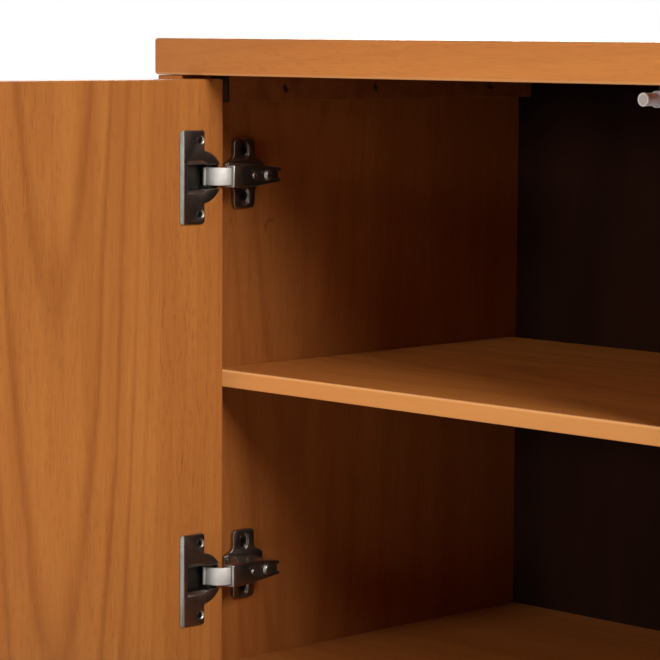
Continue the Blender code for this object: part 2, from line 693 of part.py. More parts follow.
def link_outline():
    """Plan outline of a link about its pivot: a curved strap with an eye at each end."""
    away = link_cup_end() - Vector((LINK_PIVOT_X, LINK_PIVOT_Y))
    chord = away.length
    radius = (chord * chord / 4 + LINK_BULGE * LINK_BULGE) / (2 * LINK_BULGE)
    across = Vector((-away.y, away.x)).normalized()
    centre = away / 2 + across * (LINK_BULGE - radius)
    middle = math.atan2(across.y, across.x)
    sweep = math.asin(chord / 2 / radius)
    start = middle + sweep
    finish = middle - sweep
    half = LINK_THICKNESS / 2
    outer = arc_points(centre, radius + half, start, finish, ARC_STEPS)
    inner = arc_points(centre, radius - half, finish, start, ARC_STEPS)
    return outer + inner, away


def make_link(cabinet, name, side, height):
    """The link that swings on the arm's pin and reaches into the cup."""
    outline, away = link_outline()
    half = LINK_HALF_WIDTH
    strap = plate_mesh(name, outline, -half, half)
    place = (side * (INNER_HALF_WIDTH - LINK_PIVOT_X), LINK_PIVOT_Y, height)
    link = cabinet.add(name, handed(strap, side), cabinet.bright, None, place)
    ease_edges(link, LINK_EDGE_RADIUS)
    for end in (Vector((0.0, 0.0)), away):
        eye = rod_mesh("eye", LINK_EYE_RADIUS, (end.x, end.y, -half), (end.x, end.y, half))
        cabinet.join(link, handed(eye, side))
    bore = rod_mesh("eye_bore", LINK_PIN_RADIUS + SEAT, (0.0, 0.0, -2 * half), (0.0, 0.0, 2 * half))
    cabinet.cut(link, handed(bore, side))
    shade_round(link)


def arm_outline(drop, margin):
    """Side outline of a cranked arm; drop lowers its roof, margin lengthens its ends and walls."""
    tip = ARM_TIP_Y - margin
    tail = ARM_TAIL_Y + margin
    return [
        (ARM_TIP_TOP - drop, tip),
        (ARM_TIP_TOP - drop, ARM_CRANK_START),
        (ARM_TAIL_TOP - drop, ARM_CRANK_END),
        (ARM_TAIL_TOP - drop, tail),
        (ARM_TAIL_TOP - ARM_TAIL_DEPTH - margin, tail),
        (ARM_TAIL_TOP - ARM_TAIL_DEPTH - margin, ARM_CRANK_END),
        (ARM_TIP_TOP - ARM_TIP_DEPTH - margin, ARM_CRANK_START - ARM_WALL),
        (ARM_TIP_TOP - ARM_TIP_DEPTH - margin, tip - ARM_TIP_LEAN),
    ]


def narrowed(mesh, inset):
    """Narrow a mesh towards the arm's tail, keeping an inset from the arm's outer faces."""
    ratio = (ARM_TAIL_HALF_WIDTH - inset) / (ARM_HALF_WIDTH - inset)
    return tapered(mesh, ARM_CRANK_END, ARM_TAIL_Y, ratio)


def make_arm(cabinet, name, side, height):
    """The hinge arm: a cranked channel with the link's pin across its tip."""
    half = ARM_HALF_WIDTH
    place = (side * INNER_HALF_WIDTH, 0.0, height)
    solid = bevelled(plate_mesh(name, arm_outline(0.0, 0.0), -half, half), ARM_EDGE_RADIUS)
    arm = cabinet.add(name, handed(narrowed(solid, 0.0), side), cabinet.nickel, None, place)
    clear = half - ARM_WALL
    channel = narrowed(plate_mesh("channel", arm_outline(ARM_ROOF, ARM_ROOF), -clear, clear), ARM_WALL)
    cabinet.cut(arm, handed(channel, side))
    reach = half - ARM_WALL / 2
    pin_ends = [(LINK_PIVOT_X, LINK_PIVOT_Y, end * reach) for end in (-1, 1)]
    cabinet.join(arm, handed(rod_mesh("pin", LINK_PIN_RADIUS, *pin_ends), side))
    slot_half = ARM_SLOT_WIDTH / 2
    low = ARM_TAIL_TOP - 2 * ARM_ROOF
    high = ARM_TAIL_TOP + ARM_ROOF
    slot = arc_points((ARM_TAIL_Y - ARM_SLOT_LENGTH, 0.0), slot_half, math.pi / 2, 1.5 * math.pi, ARC_STEPS)
    slot += [(ARM_TAIL_Y + ARM_ROOF, -slot_half), (ARM_TAIL_Y + ARM_ROOF, slot_half)]
    cabinet.cut(arm, handed(plate_mesh("tail_slot", slot, low, high, "YZ"), side))
    hole_ends = [(level, ARM_SCREW_Y, 0.0) for level in (low, high)]
    cabinet.cut(arm, handed(rod_mesh("screw_hole", slot_half, *hole_ends), side))


def plate_outline():
    """Outline of a mounting plate in Y and Z: a cross with round corners and hollow fillets."""
    front = PLATE_HOLE_Y - PLATE_WING_WIDTH / 2
    rear = PLATE_HOLE_Y + PLATE_WING_WIDTH / 2
    corner = PLATE_CORNER_RADIUS
    fillet = PLATE_FILLET
    base = PLATE_BASE_HALF_HEIGHT
    base_corner = PLATE_BASE_CORNER
    straight = fillet + PLATE_BASE_OVERRUN
    inset = PLATE_BASE_END_HALF_HEIGHT - base_corner
    top = PLATE_HALF_HEIGHT - corner
    quarter = math.pi / 2
    upper = arc_points((rear + straight, inset), base_corner, 0.0, quarter, CORNER_STEPS)
    upper += arc_points((rear + fillet, base + fillet), fillet, 3 * quarter, 2 * quarter, CORNER_STEPS)
    upper += arc_points((rear - corner, top), corner, 0.0, quarter, CORNER_STEPS)
    upper += arc_points((front + corner, top), corner, quarter, 2 * quarter, CORNER_STEPS)
    upper += arc_points((front - fillet, base + fillet), fillet, 0.0, -quarter, CORNER_STEPS)
    upper += arc_points((front - straight, inset), base_corner, quarter, 2 * quarter, CORNER_STEPS)
    return upper + [(y, -z) for y, z in reversed(upper)]


def slot_outline(middle_z, margin):
    """Outline of an upright slot in a plate's wing; margin widens it all round."""
    half = PLATE_SLOT_HALF_WIDTH + margin
    reach = PLATE_SLOT_LENGTH / 2 - PLATE_SLOT_HALF_WIDTH
    steps = CORNER_STEPS * 2
    upper = arc_points((PLATE_HOLE_Y, middle_z + reach), half, 0.0, math.pi, steps)
    return upper + arc_points((PLATE_HOLE_Y, middle_z - reach), half, math.pi, 2 * math.pi, steps)


def make_plate(cabinet, name, side, height):
    """The mounting plate: two slotted wings, a hump under the arm's walls and a block in the arm."""
    top = SEAT + PLATE_THICKNESS
    place = (side * INNER_HALF_WIDTH, 0.0, height)
    cross = plate_mesh(name, plate_outline(), SEAT, top, "YZ")
    plate = cabinet.add(name, handed(cross, side), cabinet.nickel, None, place)
    inside = ARM_WALL + SEAT
    for low_y, high_y, high_x, inset in (
        (ARM_CRANK_END, ARM_TAIL_Y, ARM_TAIL_TOP - ARM_TAIL_DEPTH - SEAT, 0.0),
        (PLATE_BLOCK_START, PLATE_BLOCK_END, ARM_TAIL_TOP - ARM_ROOF - SEAT, inside),
    ):
        half = ARM_HALF_WIDTH - inset
        lump = box_mesh("lump", (SEAT + PLATE_THICKNESS / 2, low_y, -half), (high_x, high_y, half))
        cabinet.join(plate, handed(narrowed(lump, inset), side))
    for end in (-1, 1):
        slot_z = end * PLATE_HOLE_SPACING / 2
        for margin, low in ((0.0, -SEAT), (PLATE_RECESS_MARGIN, top - PLATE_RECESS_DEPTH)):
            slot = plate_mesh("slot", slot_outline(slot_z, margin), low, top + SEAT, "YZ")
            cabinet.cut(plate, handed(slot, side))


def make_hinges(cabinet):
    """Arm, plate and link of each hinge; the cups are on the doors."""
    for name, side in SIDES.items():
        for level, height in HINGE_HEIGHTS.items():
            make_plate(cabinet, f"{name}_{level}_hinge_plate", side, height)
            make_arm(cabinet, f"{name}_{level}_hinge_arm", side, height)
            make_link(cabinet, f"{name}_{level}_hinge_link", side, height)


def profile_mesh(name, profile):
    """Half a section, from radius and height pairs that are listed from top to bottom."""
    bm = bmesh.new()
    verts = [bm.verts.new((radius, 0.0, level)) for radius, level in profile]
    for upper, lower in zip(verts, verts[1:]):
        bm.edges.new((upper, lower))
    mesh = bpy.data.meshes.new(name)
    bm.to_mesh(mesh)
    bm.free()
    return mesh


def spin(piece, sides):
    """Turn a piece's profile about its Z axis."""
    screw = piece.modifiers.new("turned", "SCREW")
    screw.steps = sides
    screw.render_steps = sides
    screw.use_merge_vertices = True
    screw.merge_threshold = WELD
    screw.use_smooth_shade = True


def make_latches(cabinet):
    """Push latches: a housing under the top with a sprung plunger in it."""
    for name, side in SIDES.items():
        x = side * (INNER_HALF_WIDTH - LATCH_X)
        half = LATCH_SADDLE_HALF_WIDTH
        outline = [(x + half, CEILING - SEAT), (x - half, CEILING - SEAT)]
        outline += arc_points((x, LATCH_Z), half, math.pi, 2 * math.pi, ARC_STEPS)
        rear = LATCH_BODY_Y + LATCH_BODY_LENGTH
        saddle = plate_mesh(name, outline, LATCH_BODY_Y + LATCH_SADDLE_SETBACK, rear, "XZ")
        housing = cabinet.add(f"{name}_latch_housing", saddle, cabinet.plastic)
        tube_ends = [(x, y, LATCH_Z) for y in (LATCH_BODY_Y, rear - LATCH_SADDLE_SETBACK)]
        cabinet.join(housing, rod_mesh("tube", LATCH_BODY_RADIUS, *tube_ends, ROUND_SIDES))
        bore_start = (x, LATCH_BODY_Y - LATCH_BODY_SETBACK, LATCH_Z)
        bore_end = (x, LATCH_BODY_Y + LATCH_BORE_LENGTH, LATCH_Z)
        cabinet.cut(housing, rod_mesh("bore", PLUNGER_RADIUS + SEAT, bore_start, bore_end))
        make_plunger(cabinet, f"{name}_latch_plunger", x)


def make_plunger(cabinet, name, x):
    """A turned plunger with a cap at its tip, lying along the depth of the cabinet."""
    profile = [
        (0.0, 0.0),
        (PLUNGER_TIP_RADIUS, 0.0),
        (PLUNGER_RADIUS, -PLUNGER_TIP_LENGTH),
        (PLUNGER_RADIUS, -PLUNGER_CAP_LENGTH),
        (PLUNGER_NECK_RADIUS, -PLUNGER_CAP_LENGTH),
        (PLUNGER_NECK_RADIUS, -LATCH_BODY_SETBACK - PLUNGER_CAP_LENGTH),
        (PLUNGER_RADIUS, -LATCH_BODY_SETBACK - PLUNGER_CAP_LENGTH),
        (PLUNGER_RADIUS, -PLUNGER_LENGTH),
        (0.0, -PLUNGER_LENGTH),
    ]
    mesh = profile_mesh(name, profile)
    plunger = cabinet.add(name, mesh, cabinet.plastic, None, (x, PLUNGER_TIP_Y, LATCH_Z))
    plunger.rotation_euler = (math.pi / 2, 0.0, 0.0)
    spin(plunger, SMALL_SIDES)


def make_legs(cabinet):
    """Four turned legs, each under a plate on the bottom panel."""
    reach_x = CARCASS_HALF_WIDTH - LEG_INSET
    places = {"front": LEG_INSET, "rear": CARCASS_DEPTH - LEG_INSET}
    half = LEG_PLATE_SIZE / 2
    profile = [
        (0.0, LEG_TOP),
        (LEG_TOP_RADIUS - LEG_EDGE, LEG_TOP),
        (LEG_TOP_RADIUS, LEG_TOP - LEG_EDGE),
        (LEG_FOOT_RADIUS, LEG_EDGE),
        (LEG_FOOT_RADIUS - LEG_EDGE, 0.0),
        (0.0, 0.0),
    ]
    for end, y in places.items():
        for name, side in SIDES.items():
            x = side * reach_x
            outline = rounded_rectangle((x - half, y - half), (x + half, y + half), LEG_PLATE_CORNER)
            top = LEG_HEIGHT - SEAT
            plate = plate_mesh(name, outline, top - LEG_PLATE_THICKNESS, top)
            cabinet.add(f"{end}_{name}_leg_plate", plate, cabinet.steel)
            leg_name = f"{end}_{name}_leg"
            leg = cabinet.add(leg_name, profile_mesh(leg_name, profile), cabinet.veneer, None, (x, y, 0.0))
            spin(leg, ROUND_SIDES)


def main():
    """Build the cabinet."""
    clear_scene()
    cabinet = Cabinet()
    make_carcass(cabinet)
    make_shelves(cabinet)
    make_cleats(cabinet)
    make_doors(cabinet)
    make_hinges(cabinet)
    make_latches(cabinet)
    make_legs(cabinet)


main()
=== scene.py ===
"""Looks of a buffet cabinet with inset doors on concealed cup hinges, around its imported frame.

Metres, +Z up. The cabinet faces -Y and both doors stand open. A hinge frame has its x from the
inner face of a side panel towards the middle of the cabinet, its y from the carcass front and
its z from the floor, with the door closed.
"""

from __future__ import annotations

import json
import logging
import math
from dataclasses import dataclass
from enum import Enum
from typing import Callable, Iterable, Sequence, Union

import bmesh
import bpy
from mathutils import Matrix, Vector

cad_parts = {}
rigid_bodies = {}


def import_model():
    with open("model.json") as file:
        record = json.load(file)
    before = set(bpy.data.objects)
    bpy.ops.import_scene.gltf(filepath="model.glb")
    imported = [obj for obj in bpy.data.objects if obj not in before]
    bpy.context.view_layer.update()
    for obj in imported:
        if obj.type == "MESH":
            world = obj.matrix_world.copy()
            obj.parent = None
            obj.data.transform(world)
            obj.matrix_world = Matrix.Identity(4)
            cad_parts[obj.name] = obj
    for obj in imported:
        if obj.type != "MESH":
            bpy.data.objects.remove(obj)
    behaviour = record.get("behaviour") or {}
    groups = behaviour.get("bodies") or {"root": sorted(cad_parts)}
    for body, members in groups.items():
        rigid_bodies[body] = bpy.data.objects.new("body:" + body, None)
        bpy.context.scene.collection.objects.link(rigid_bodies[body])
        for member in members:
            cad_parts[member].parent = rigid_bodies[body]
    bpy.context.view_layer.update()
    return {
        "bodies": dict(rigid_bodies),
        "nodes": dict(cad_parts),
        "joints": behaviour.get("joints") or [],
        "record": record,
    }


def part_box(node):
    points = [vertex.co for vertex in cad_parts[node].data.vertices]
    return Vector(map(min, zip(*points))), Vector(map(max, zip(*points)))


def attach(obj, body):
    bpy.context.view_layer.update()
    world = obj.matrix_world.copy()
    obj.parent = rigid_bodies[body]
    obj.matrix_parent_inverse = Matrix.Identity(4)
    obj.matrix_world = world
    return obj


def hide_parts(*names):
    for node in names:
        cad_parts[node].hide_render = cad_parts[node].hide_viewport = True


LOG = logging.getLogger("buffet_cabinet")

MM = 0.001
WELD = 0.01 * MM
PHOTO_PIXELS = 660.0
SENSOR_WIDTH = 36.0
SHARP_ANGLE = math.radians(30.0)
FLAT_ANGLE = math.radians(0.6)
QUARTER_TURN = math.pi / 2.0
FULL_TURN = 2.0 * math.pi
SRGB_FULL = 255.0
SRGB_TOE = 0.04045
SRGB_TOE_SLOPE = 12.92
SRGB_OFFSET = 0.055
SRGB_POWER = 2.4

Colour = tuple[float, float, float]
Point = tuple[float, float, float]
Span = tuple[float, float]
Pairs = Sequence[Span]
Operand = Union["Signal", float]
FaceTest = Callable[[Vector], bool]
Material = bpy.types.Material
Mesh = bpy.types.Mesh
Piece = bpy.types.Object


def linear(share: float) -> float:
    """The linear value of a screen value.

    Args:
        share: Screen value from 0 to 1.

    Returns:
        The linear value.
    """
    if share <= SRGB_TOE:
        return share / SRGB_TOE_SLOPE
    return ((share + SRGB_OFFSET) / (1.0 + SRGB_OFFSET)) ** SRGB_POWER


def srgb(red: int, green: int, blue: int) -> Colour:
    """A screen colour, from 0 to 255, as the linear values that a shader takes."""
    return (linear(red / SRGB_FULL), linear(green / SRGB_FULL), linear(blue / SRGB_FULL))


def tinted(colour: Colour, tint: Point) -> Colour:
    """A colour scaled by a tint."""
    return (colour[0] * tint[0], colour[1] * tint[1], colour[2] * tint[2])


class Signal:
    """A number that varies over a surface: an output socket with arithmetic."""

    def __init__(self, kit: NodeKit, socket: bpy.types.NodeSocket) -> None:
        self.kit = kit
        self.socket = socket

    def __add__(self, other: Operand) -> Signal:
        """The sum."""
        return self.kit.maths("ADD", self, other)

    def __radd__(self, other: Operand) -> Signal:
        """The sum, from the right."""
        return self.kit.maths("ADD", other, self)

    def __sub__(self, other: Operand) -> Signal:
        """The difference."""
        return self.kit.maths("SUBTRACT", self, other)

    def __rsub__(self, other: Operand) -> Signal:
        """The difference, from the right."""
        return self.kit.maths("SUBTRACT", other, self)

    def __mul__(self, other: Operand) -> Signal:
        """The product."""
        return self.kit.maths("MULTIPLY", self, other)

    def __rmul__(self, other: Operand) -> Signal:
        """The product, from the right."""
        return self.kit.maths("MULTIPLY", other, self)

    def __truediv__(self, other: Operand) -> Signal:
        """The quotient."""
        return self.kit.maths("DIVIDE", self, other)

    def __rtruediv__(self, other: Operand) -> Signal:
        """The quotient, from the right."""
        return self.kit.maths("DIVIDE", other, self)

    def root(self) -> Signal:
        """The square root."""
        return self.kit.maths("SQRT", self)

    def size(self) -> Signal:
        """The number without its sign."""
        return self.kit.maths("ABSOLUTE", self)

    def fraction(self) -> Signal:
        """What is left above the next lower whole number."""
        return self.kit.maths("FRACT", self)

    def rise(self, low: float, high: float) -> Signal:
        """A soft step from 0 at one value to 1 at another.

        Args:
            low: Value where the step starts.
            high: Value where the step is complete.

        Returns:
            The step.
        """
        settings = {"interpolation_type": "SMOOTHSTEP"}
        inputs = {"Value": self, "From Min": low, "From Max": high}
        return Signal(self.kit, self.kit.make("ShaderNodeMapRange", settings, inputs).outputs["Result"])


class NodeKit:
    """Adds nodes to one tree."""

    NOISE_ROUGHNESS = 0.55
    NOISE_MIDDLE = 0.5
    MIX_SHARE = 0
    MIX_FIRST = 6
    MIX_SECOND = 7
    MIX_RESULT = 2

    def __init__(self, tree: bpy.types.NodeTree) -> None:
        """Keep the tree that the nodes go into."""
        self.tree = tree

    def make(self, kind: str, settings: dict | None = None, inputs: dict | None = None) -> bpy.types.Node:
        """Add a node.

        Args:
            kind: The node's type.
            settings: Properties that are set first; "stops" gives a ramp its places and greys.
            inputs: Values or links by the name or number of an input socket.

        Returns:
            The node.
        """
        node = self.tree.nodes.new(kind)
        for name, value in (settings or {}).items():
            if name == "stops":
                self.set_stops(node.color_ramp, value)
            else:
                setattr(node, name, value)
        for key, value in (inputs or {}).items():
            self.feed(node.inputs[key], value)
        return node

    @staticmethod
    def set_stops(ramp: bpy.types.ColorRamp, stops: Pairs) -> None:
        """Give a ramp its grey stops, with soft ways between them.

        Args:
            ramp: The ramp, with the two stops that it starts with.
            stops: Place and grey of each stop, in order.
        """
        ramp.interpolation = "EASE"
        while len(ramp.elements) < len(stops):
            ramp.elements.new(1.0)
        for element, (place, grey) in zip(ramp.elements, stops):
            element.position = place
            element.color = (grey, grey, grey, 1.0)

    def feed(self, socket: bpy.types.NodeSocket, value: object) -> None:
        """Link or set an input socket.

        Args:
            socket: The input socket.
            value: A signal, an output socket or a plain value.
        """
        if isinstance(value, Signal):
            self.tree.links.new(value.socket, socket)
        elif isinstance(value, bpy.types.NodeSocket):
            self.tree.links.new(value, socket)
        elif socket.type == "RGBA":
            socket.default_value = (*value[:3], 1.0)
        else:
            socket.default_value = value

    def maths(self, operation: str, *operands: Operand) -> Signal:
        """A Math node on values or numbers."""
        node = self.make("ShaderNodeMath", {"operation": operation}, dict(enumerate(operands)))
        return Signal(self, node.outputs["Value"])

    def noise(self, place: Sequence[Operand], seed: float, detail: float) -> Signal:
        """Noise from 0 to 1 at a stretched place.

        Args:
            place: Three coordinates, in the noise's own cells.
            seed: Fourth coordinate, which makes one noise differ from another.
            detail: Number of finer layers.

        Returns:
            The noise.
        """
        inputs = {
            "Vector": self.make("ShaderNodeCombineXYZ", inputs=dict(enumerate(place))).outputs["Vector"],
            "W": seed,
            "Scale": 1.0,
            "Detail": detail,
            "Roughness": self.NOISE_ROUGHNESS,
        }
        node = self.make("ShaderNodeTexNoise", {"noise_dimensions": "4D"}, inputs)
        return Signal(self, node.outputs["Fac"])

    def ramp(self, value: Signal, stops: Pairs) -> Signal:
        """A value led through soft grey stops."""
        node = self.make("ShaderNodeValToRGB", {"stops": stops}, {"Fac": value})
        return Signal(self, node.outputs["Color"])

    def mix(self, share: Operand, first: object, second: object) -> bpy.types.NodeSocket:
        """A colour between two colours.

        Args:
            share: Share of the second colour.
            first: Colour or colour socket at share 0.
            second: Colour or colour socket at share 1.

        Returns:
            The mixed colour's socket.
        """
        inputs = {self.MIX_SHARE: share, self.MIX_FIRST: first, self.MIX_SECOND: second}
        return self.make("ShaderNodeMix", {"data_type": "RGBA"}, inputs).outputs[self.MIX_RESULT]

    def mix_shaders(self, share: Signal, *shaders: bpy.types.Node) -> bpy.types.NodeSocket:
        """A shader between two shader nodes, by the share of the second one."""
        inputs = dict(enumerate((share, *(shader.outputs[0] for shader in shaders))))
        return self.make("ShaderNodeMixShader", inputs=inputs).outputs["Shader"]


class Surface:
    """A material in the making: its shader, its node kit and the place on the piece."""

    def __init__(self, name: str, centre: Point = (0.0, 0.0, 0.0)) -> None:
        """Start a material.

        Args:
            name: The material's name.
            centre: Place on the object that the pattern is counted from.
        """
        self.material = bpy.data.materials.new(name)
        self.material.use_nodes = True
        self.material.node_tree.nodes.clear()
        self.kit = NodeKit(self.material.node_tree)
        self.shader = self.kit.make("ShaderNodeBsdfPrincipled")
        shown = {"Surface": self.shader.outputs["BSDF"]}
        self.output = self.kit.make("ShaderNodeOutputMaterial", inputs=shown)
        spot = self.kit.make("ShaderNodeTexCoord").outputs["Object"]
        shift = tuple(-value for value in centre)
        placed = self.kit.make("ShaderNodeMapping", inputs={"Vector": spot, "Location": shift})
        axes = self.kit.make("ShaderNodeSeparateXYZ", inputs={"Vector": placed.outputs["Vector"]}).outputs
        self.axes = {letter: Signal(self.kit, axes[letter]) for letter in "XYZ"}

    @property
    def place(self) -> tuple[Signal, ...]:
        """The coordinates on the piece."""
        return tuple(self.axes.values())

    def set(self, values: dict) -> None:
        """Set or link the shader's sockets by name."""
        for name, value in values.items():
            self.kit.feed(self.shader.inputs[name], value)

    def relief(self, height: Signal, depth: float, strength: float) -> None:
        """Give the shader a bumped normal.

        Args:
            height: Height from 0 to 1.
            depth: Real depth of that height, in metres.
            strength: Share of the bump that shows.
        """
        inputs = {"Height": height, "Distance": depth, "Strength": strength}
        bump = self.kit.make("ShaderNodeBump", inputs=inputs)
        self.kit.feed(self.shader.inputs["Normal"], bump.outputs["Normal"])


@dataclass(frozen=True)
class Mottle:
    """Noise with its own cells per metre on three axes, and the soft step that makes marks of it."""

    cells: Point
    seed: float
    detail: float = 2.0
    low: float = 0.0
    high: float = 1.0

    def noise(self, kit: NodeKit, place: Sequence[Signal], seed: float = 0.0) -> Signal:
        """The bare noise.

        Args:
            kit: Where the nodes go.
            place: Coordinates on the three axes.
            seed: The piece's own seed.

        Returns:
            The noise from 0 to 1.
        """
        counted = [axis * count for axis, count in zip(place, self.cells)]
        return kit.noise(counted, self.seed + seed, self.detail)

    def marks(self, noise: Signal) -> Signal:
        """The marks that this mottle's noise makes."""
        return noise.rise(self.low, self.high)

    def spread(self, kit: NodeKit, place: Sequence[Signal], seed: float = 0.0) -> Signal:
        """The marks, straight from a place."""
        return self.marks(self.noise(kit, place, seed))


class Grain(Enum):
    """How a board lies: the axes along its grain, across it and through its thickness."""

    UPRIGHT = "ZYX"
    UPRIGHT_FACING = "ZXY"
    LEVEL = "XYZ"


@dataclass(frozen=True)
class Board:
    """A board as it was cut from its log.

    Its lipping is the front edge's Y, where a band of its own colour starts (painted shade on a cleat),
    and the Z of that edge's ridge, which carries a painted highlight. Its painted shade span darkens
    it from the second X to the first.
    """

    name: str
    grain: Grain
    heart: Point
    seed: float
    heart_depth: float = 90.0 * MM
    taper: float = 0.05
    lipping: Span | None = None
    lipping_share: float = 0.75
    knot: Point | None = None
    tint: Point = (1.0, 1.0, 1.0)
    ripened: Span | None = None


@dataclass(frozen=True)
class Veneer:
    """Lacquered wood with growth rings, fibres and pores.

    The cells of its mottles run across the grain, along it and through the thickness.
    """

    honey: Colour = srgb(183, 115, 53)
    brown: Colour = srgb(171, 103, 46)
    late: Colour = srgb(134, 70, 27)
    pore: Colour = srgb(110, 54, 20)
    fleck: Colour = srgb(206, 138, 76)
    band: Colour = srgb(190, 131, 74)
    # Painted highlight: a lighter line along the ridge of a lipped edge.
    worn: Colour = srgb(224, 166, 108)
    streaks: Mottle = Mottle((48.0, 2.6, 48.0), seed=1.0, detail=3.0, low=0.34, high=0.66)
    fibres: Mottle = Mottle((880.0, 42.0, 880.0), seed=2.0, detail=3.0, low=0.44, high=0.74)
    pores: Mottle = Mottle((1250.0, 84.0, 1250.0), seed=3.0, detail=1.0, low=0.57, high=0.68)
    flecks: Mottle = Mottle((700.0, 48.0, 700.0), seed=4.0, detail=1.0, low=0.58, high=0.72)
    crowds: Mottle = Mottle((11.0, 2.4, 11.0), seed=7.0, low=0.36, high=0.62)
    sways: Mottle = Mottle((4.0, 1.6, 4.0), seed=0.0)
    ripples: Mottle = Mottle((60.0, 9.0, 60.0), seed=5.0)
    fades: Mottle = Mottle((20.0, 3.0, 20.0), seed=6.0, low=0.25, high=0.68)
    fleck_share: float = 0.14
    fibre_share: float = 0.22
    pore_share: float = 0.12
    crowd_share: float = 0.26
    sway_across: float = 30.0 * MM
    sway_through: float = 15.0 * MM
    ripple_size: float = 1.8 * MM
    ring_spacing: float = 8.0 * MM
    ring_peak: float = 0.80
    ring_stops: Pairs = ((0.0, 0.16), (0.50, 0.0), (ring_peak, 1.0), (0.94, 0.3), (1.0, 0.16))
    ring_least: float = 0.45
    late_share: float = 0.54
    calm_from: float = 40.0 * MM
    calm_to: float = 90.0 * MM
    calm_share: float = 0.62
    ripe_share: float = 0.42
    knot_length: float = 5.5 * MM
    knot_width: float = 5.0 * MM
    knot_inside: Span = (0.55, 0.85)
    knot_outside: Span = (0.95, 1.35)
    knot_hook: Span = (-0.2, 0.8)
    knot_share: float = 0.6
    band_depth: float = 2.0 * MM
    worn_core: float = 0.3 * MM
    worn_width: float = 2.4 * MM
    worn_share: float = 0.6
    roughness: float = 0.42
    dullness: float = 0.10
    gloss: float = 0.18
    fibre_height: float = 0.4
    relief_depth: float = 0.12 * MM
    relief_strength: float = 0.25

    def material(self, board: Board) -> Material:
        """The finish on one board.

        Args:
            board: How the board was cut.

        Returns:
            The material.
        """
        surface = Surface(f"veneer_{board.name}", board.heart)
        along, across, through = (surface.axes[letter] for letter in board.grain.value)
        place = (across, along, through)
        fibre = self.fibres.noise(surface.kit, place, board.seed)
        pore = self.pores.spread(surface.kit, place, board.seed)
        wood = self.figure(surface.kit, board, place, (fibre, pore))
        wood = self.aged(surface, board, place, wood)
        roughness = self.roughness + fibre * self.dullness + pore * self.dullness
        surface.set({"Base Color": wood, "Roughness": roughness, "Specular IOR Level": self.gloss})
        height = fibre * self.fibre_height + (1.0 - pore) * (1.0 - self.fibre_height)
        surface.relief(height, self.relief_depth, self.relief_strength)
        return surface.material

    def figure(
        self, kit: NodeKit, board: Board, place: Sequence[Signal], marks: tuple[Signal, Signal]
    ) -> bpy.types.NodeSocket:
        """The colour of the fresh wood.

        Args:
            kit: Where the nodes go.
            board: How the board was cut.
            place: Coordinates across, along and through the board, from its heart.
            marks: The noise of the fibres, and the pores.

        Returns:
            The colour's socket.
        """
        fibre, pore = marks
        streak = self.streaks.spread(kit, place, board.seed)
        fleck = self.flecks.spread(kit, place, board.seed)
        crowd = self.crowds.spread(kit, place, board.seed)
        wood = kit.mix(streak, tinted(self.honey, board.tint), tinted(self.brown, board.tint))
        wood = kit.mix(self.growth_rings(kit, board, place) * self.late_share, wood, self.late)
        wood = kit.mix(fleck * self.fleck_share, wood, self.fleck)
        wood = kit.mix(self.fibres.marks(fibre) * self.fibre_share, wood, self.late)
        return kit.mix(pore * (self.pore_share + crowd * self.crowd_share), wood, self.pore)

    def aged(
        self, surface: Surface, board: Board, place: Sequence[Signal], wood: bpy.types.NodeSocket
    ) -> bpy.types.NodeSocket:
        """The wood's colour with its scar, its painted shade towards one end, its lipped edge with a
        painted highlight on the ridge, and a cleat's front end painted dark as shade.

        Args:
            surface: The material in the making.
            board: How the board was cut.
            place: Coordinates across, along and through the board, from its heart.
            wood: The fresh wood's colour.

        Returns:
            The colour's socket.
        """
        kit = surface.kit
        if board.knot is not None:
            wood = kit.mix(self.knot_mark(board, place), wood, self.pore)
        # Painted shade: the board darkens towards the first X of its span, as light falls off towards that
        # end.
        if board.ripened is not None:
            start, stop = (x - board.heart[0] for x in board.ripened)
            painted_shade_mask = 1.0 - surface.axes["X"].rise(start, stop)
            wood = kit.mix(painted_shade_mask * self.ripe_share, wood, self.late)
        if board.lipping is not None:
            front, ridge = (value - middle for value, middle in zip(board.lipping, board.heart[1:]))
            # A band along the front edge: real lipping colour on a board, painted shade on a cleat's front
            # end.
            edge = kit.maths("LESS_THAN", surface.axes["Y"], front + self.band_depth)
            wood = kit.mix(edge * board.lipping_share, wood, self.band)
            # Painted highlight along the edge's ridge.
            ridge_highlight_mask = 1.0 - (surface.axes["Z"] - ridge).size().rise(self.worn_core, self.worn_width)
            wood = kit.mix(edge * ridge_highlight_mask * self.worn_share, wood, self.worn)
        return wood

    def growth_rings(self, kit: NodeKit, board: Board, place: Sequence[Signal]) -> Signal:
        """Darkness of the late wood, from the rings of a leaning log.

        Args:
            kit: Where the nodes go.
            board: How the board was cut.
            place: Coordinates across, along and through the board, from its heart.

        Returns:
            The darkness from 0 to 1.
        """
        across, along, through = place
        sway = self.sways.noise(kit, place, board.seed) - kit.NOISE_MIDDLE
        ripple = self.ripples.noise(kit, place, board.seed) - kit.NOISE_MIDDLE
        aside = across + sway * self.sway_across
        below = through + sway * self.sway_through
        radius = (aside * aside + below * below).root()
        grown = radius - board.heart_depth - along * board.taper + ripple * self.ripple_size
        line = kit.ramp((grown / self.ring_spacing + self.ring_peak).fraction(), self.ring_stops)
        fade = self.ring_least + self.fades.spread(kit, place, board.seed) * (1.0 - self.ring_least)
        calm = 1.0 - aside.size().rise(self.calm_from, self.calm_to) * self.calm_share
        return line * fade * calm

    def knot_mark(self, board: Board, place: Sequence[Signal]) -> Signal:
        """A small hooked scar in the figure.

        Args:
            board: How the board was cut.
            place: Coordinates across, along and through the board, from its heart.

        Returns:
            The share of the scar's dark colour.
        """
        offset = dict(zip("XYZ", (knot - heart for knot, heart in zip(board.knot, board.heart))))
        along_axis, across_axis, _ = board.grain.value
        across = (place[0] - offset[across_axis]) / self.knot_width
        along = (place[1] - offset[along_axis]) / self.knot_length
        away = (along * along + across * across).root()
        ring = away.rise(*self.knot_inside) * (1.0 - away.rise(*self.knot_outside))
        return ring * (along - across).rise(*self.knot_hook) * self.knot_share


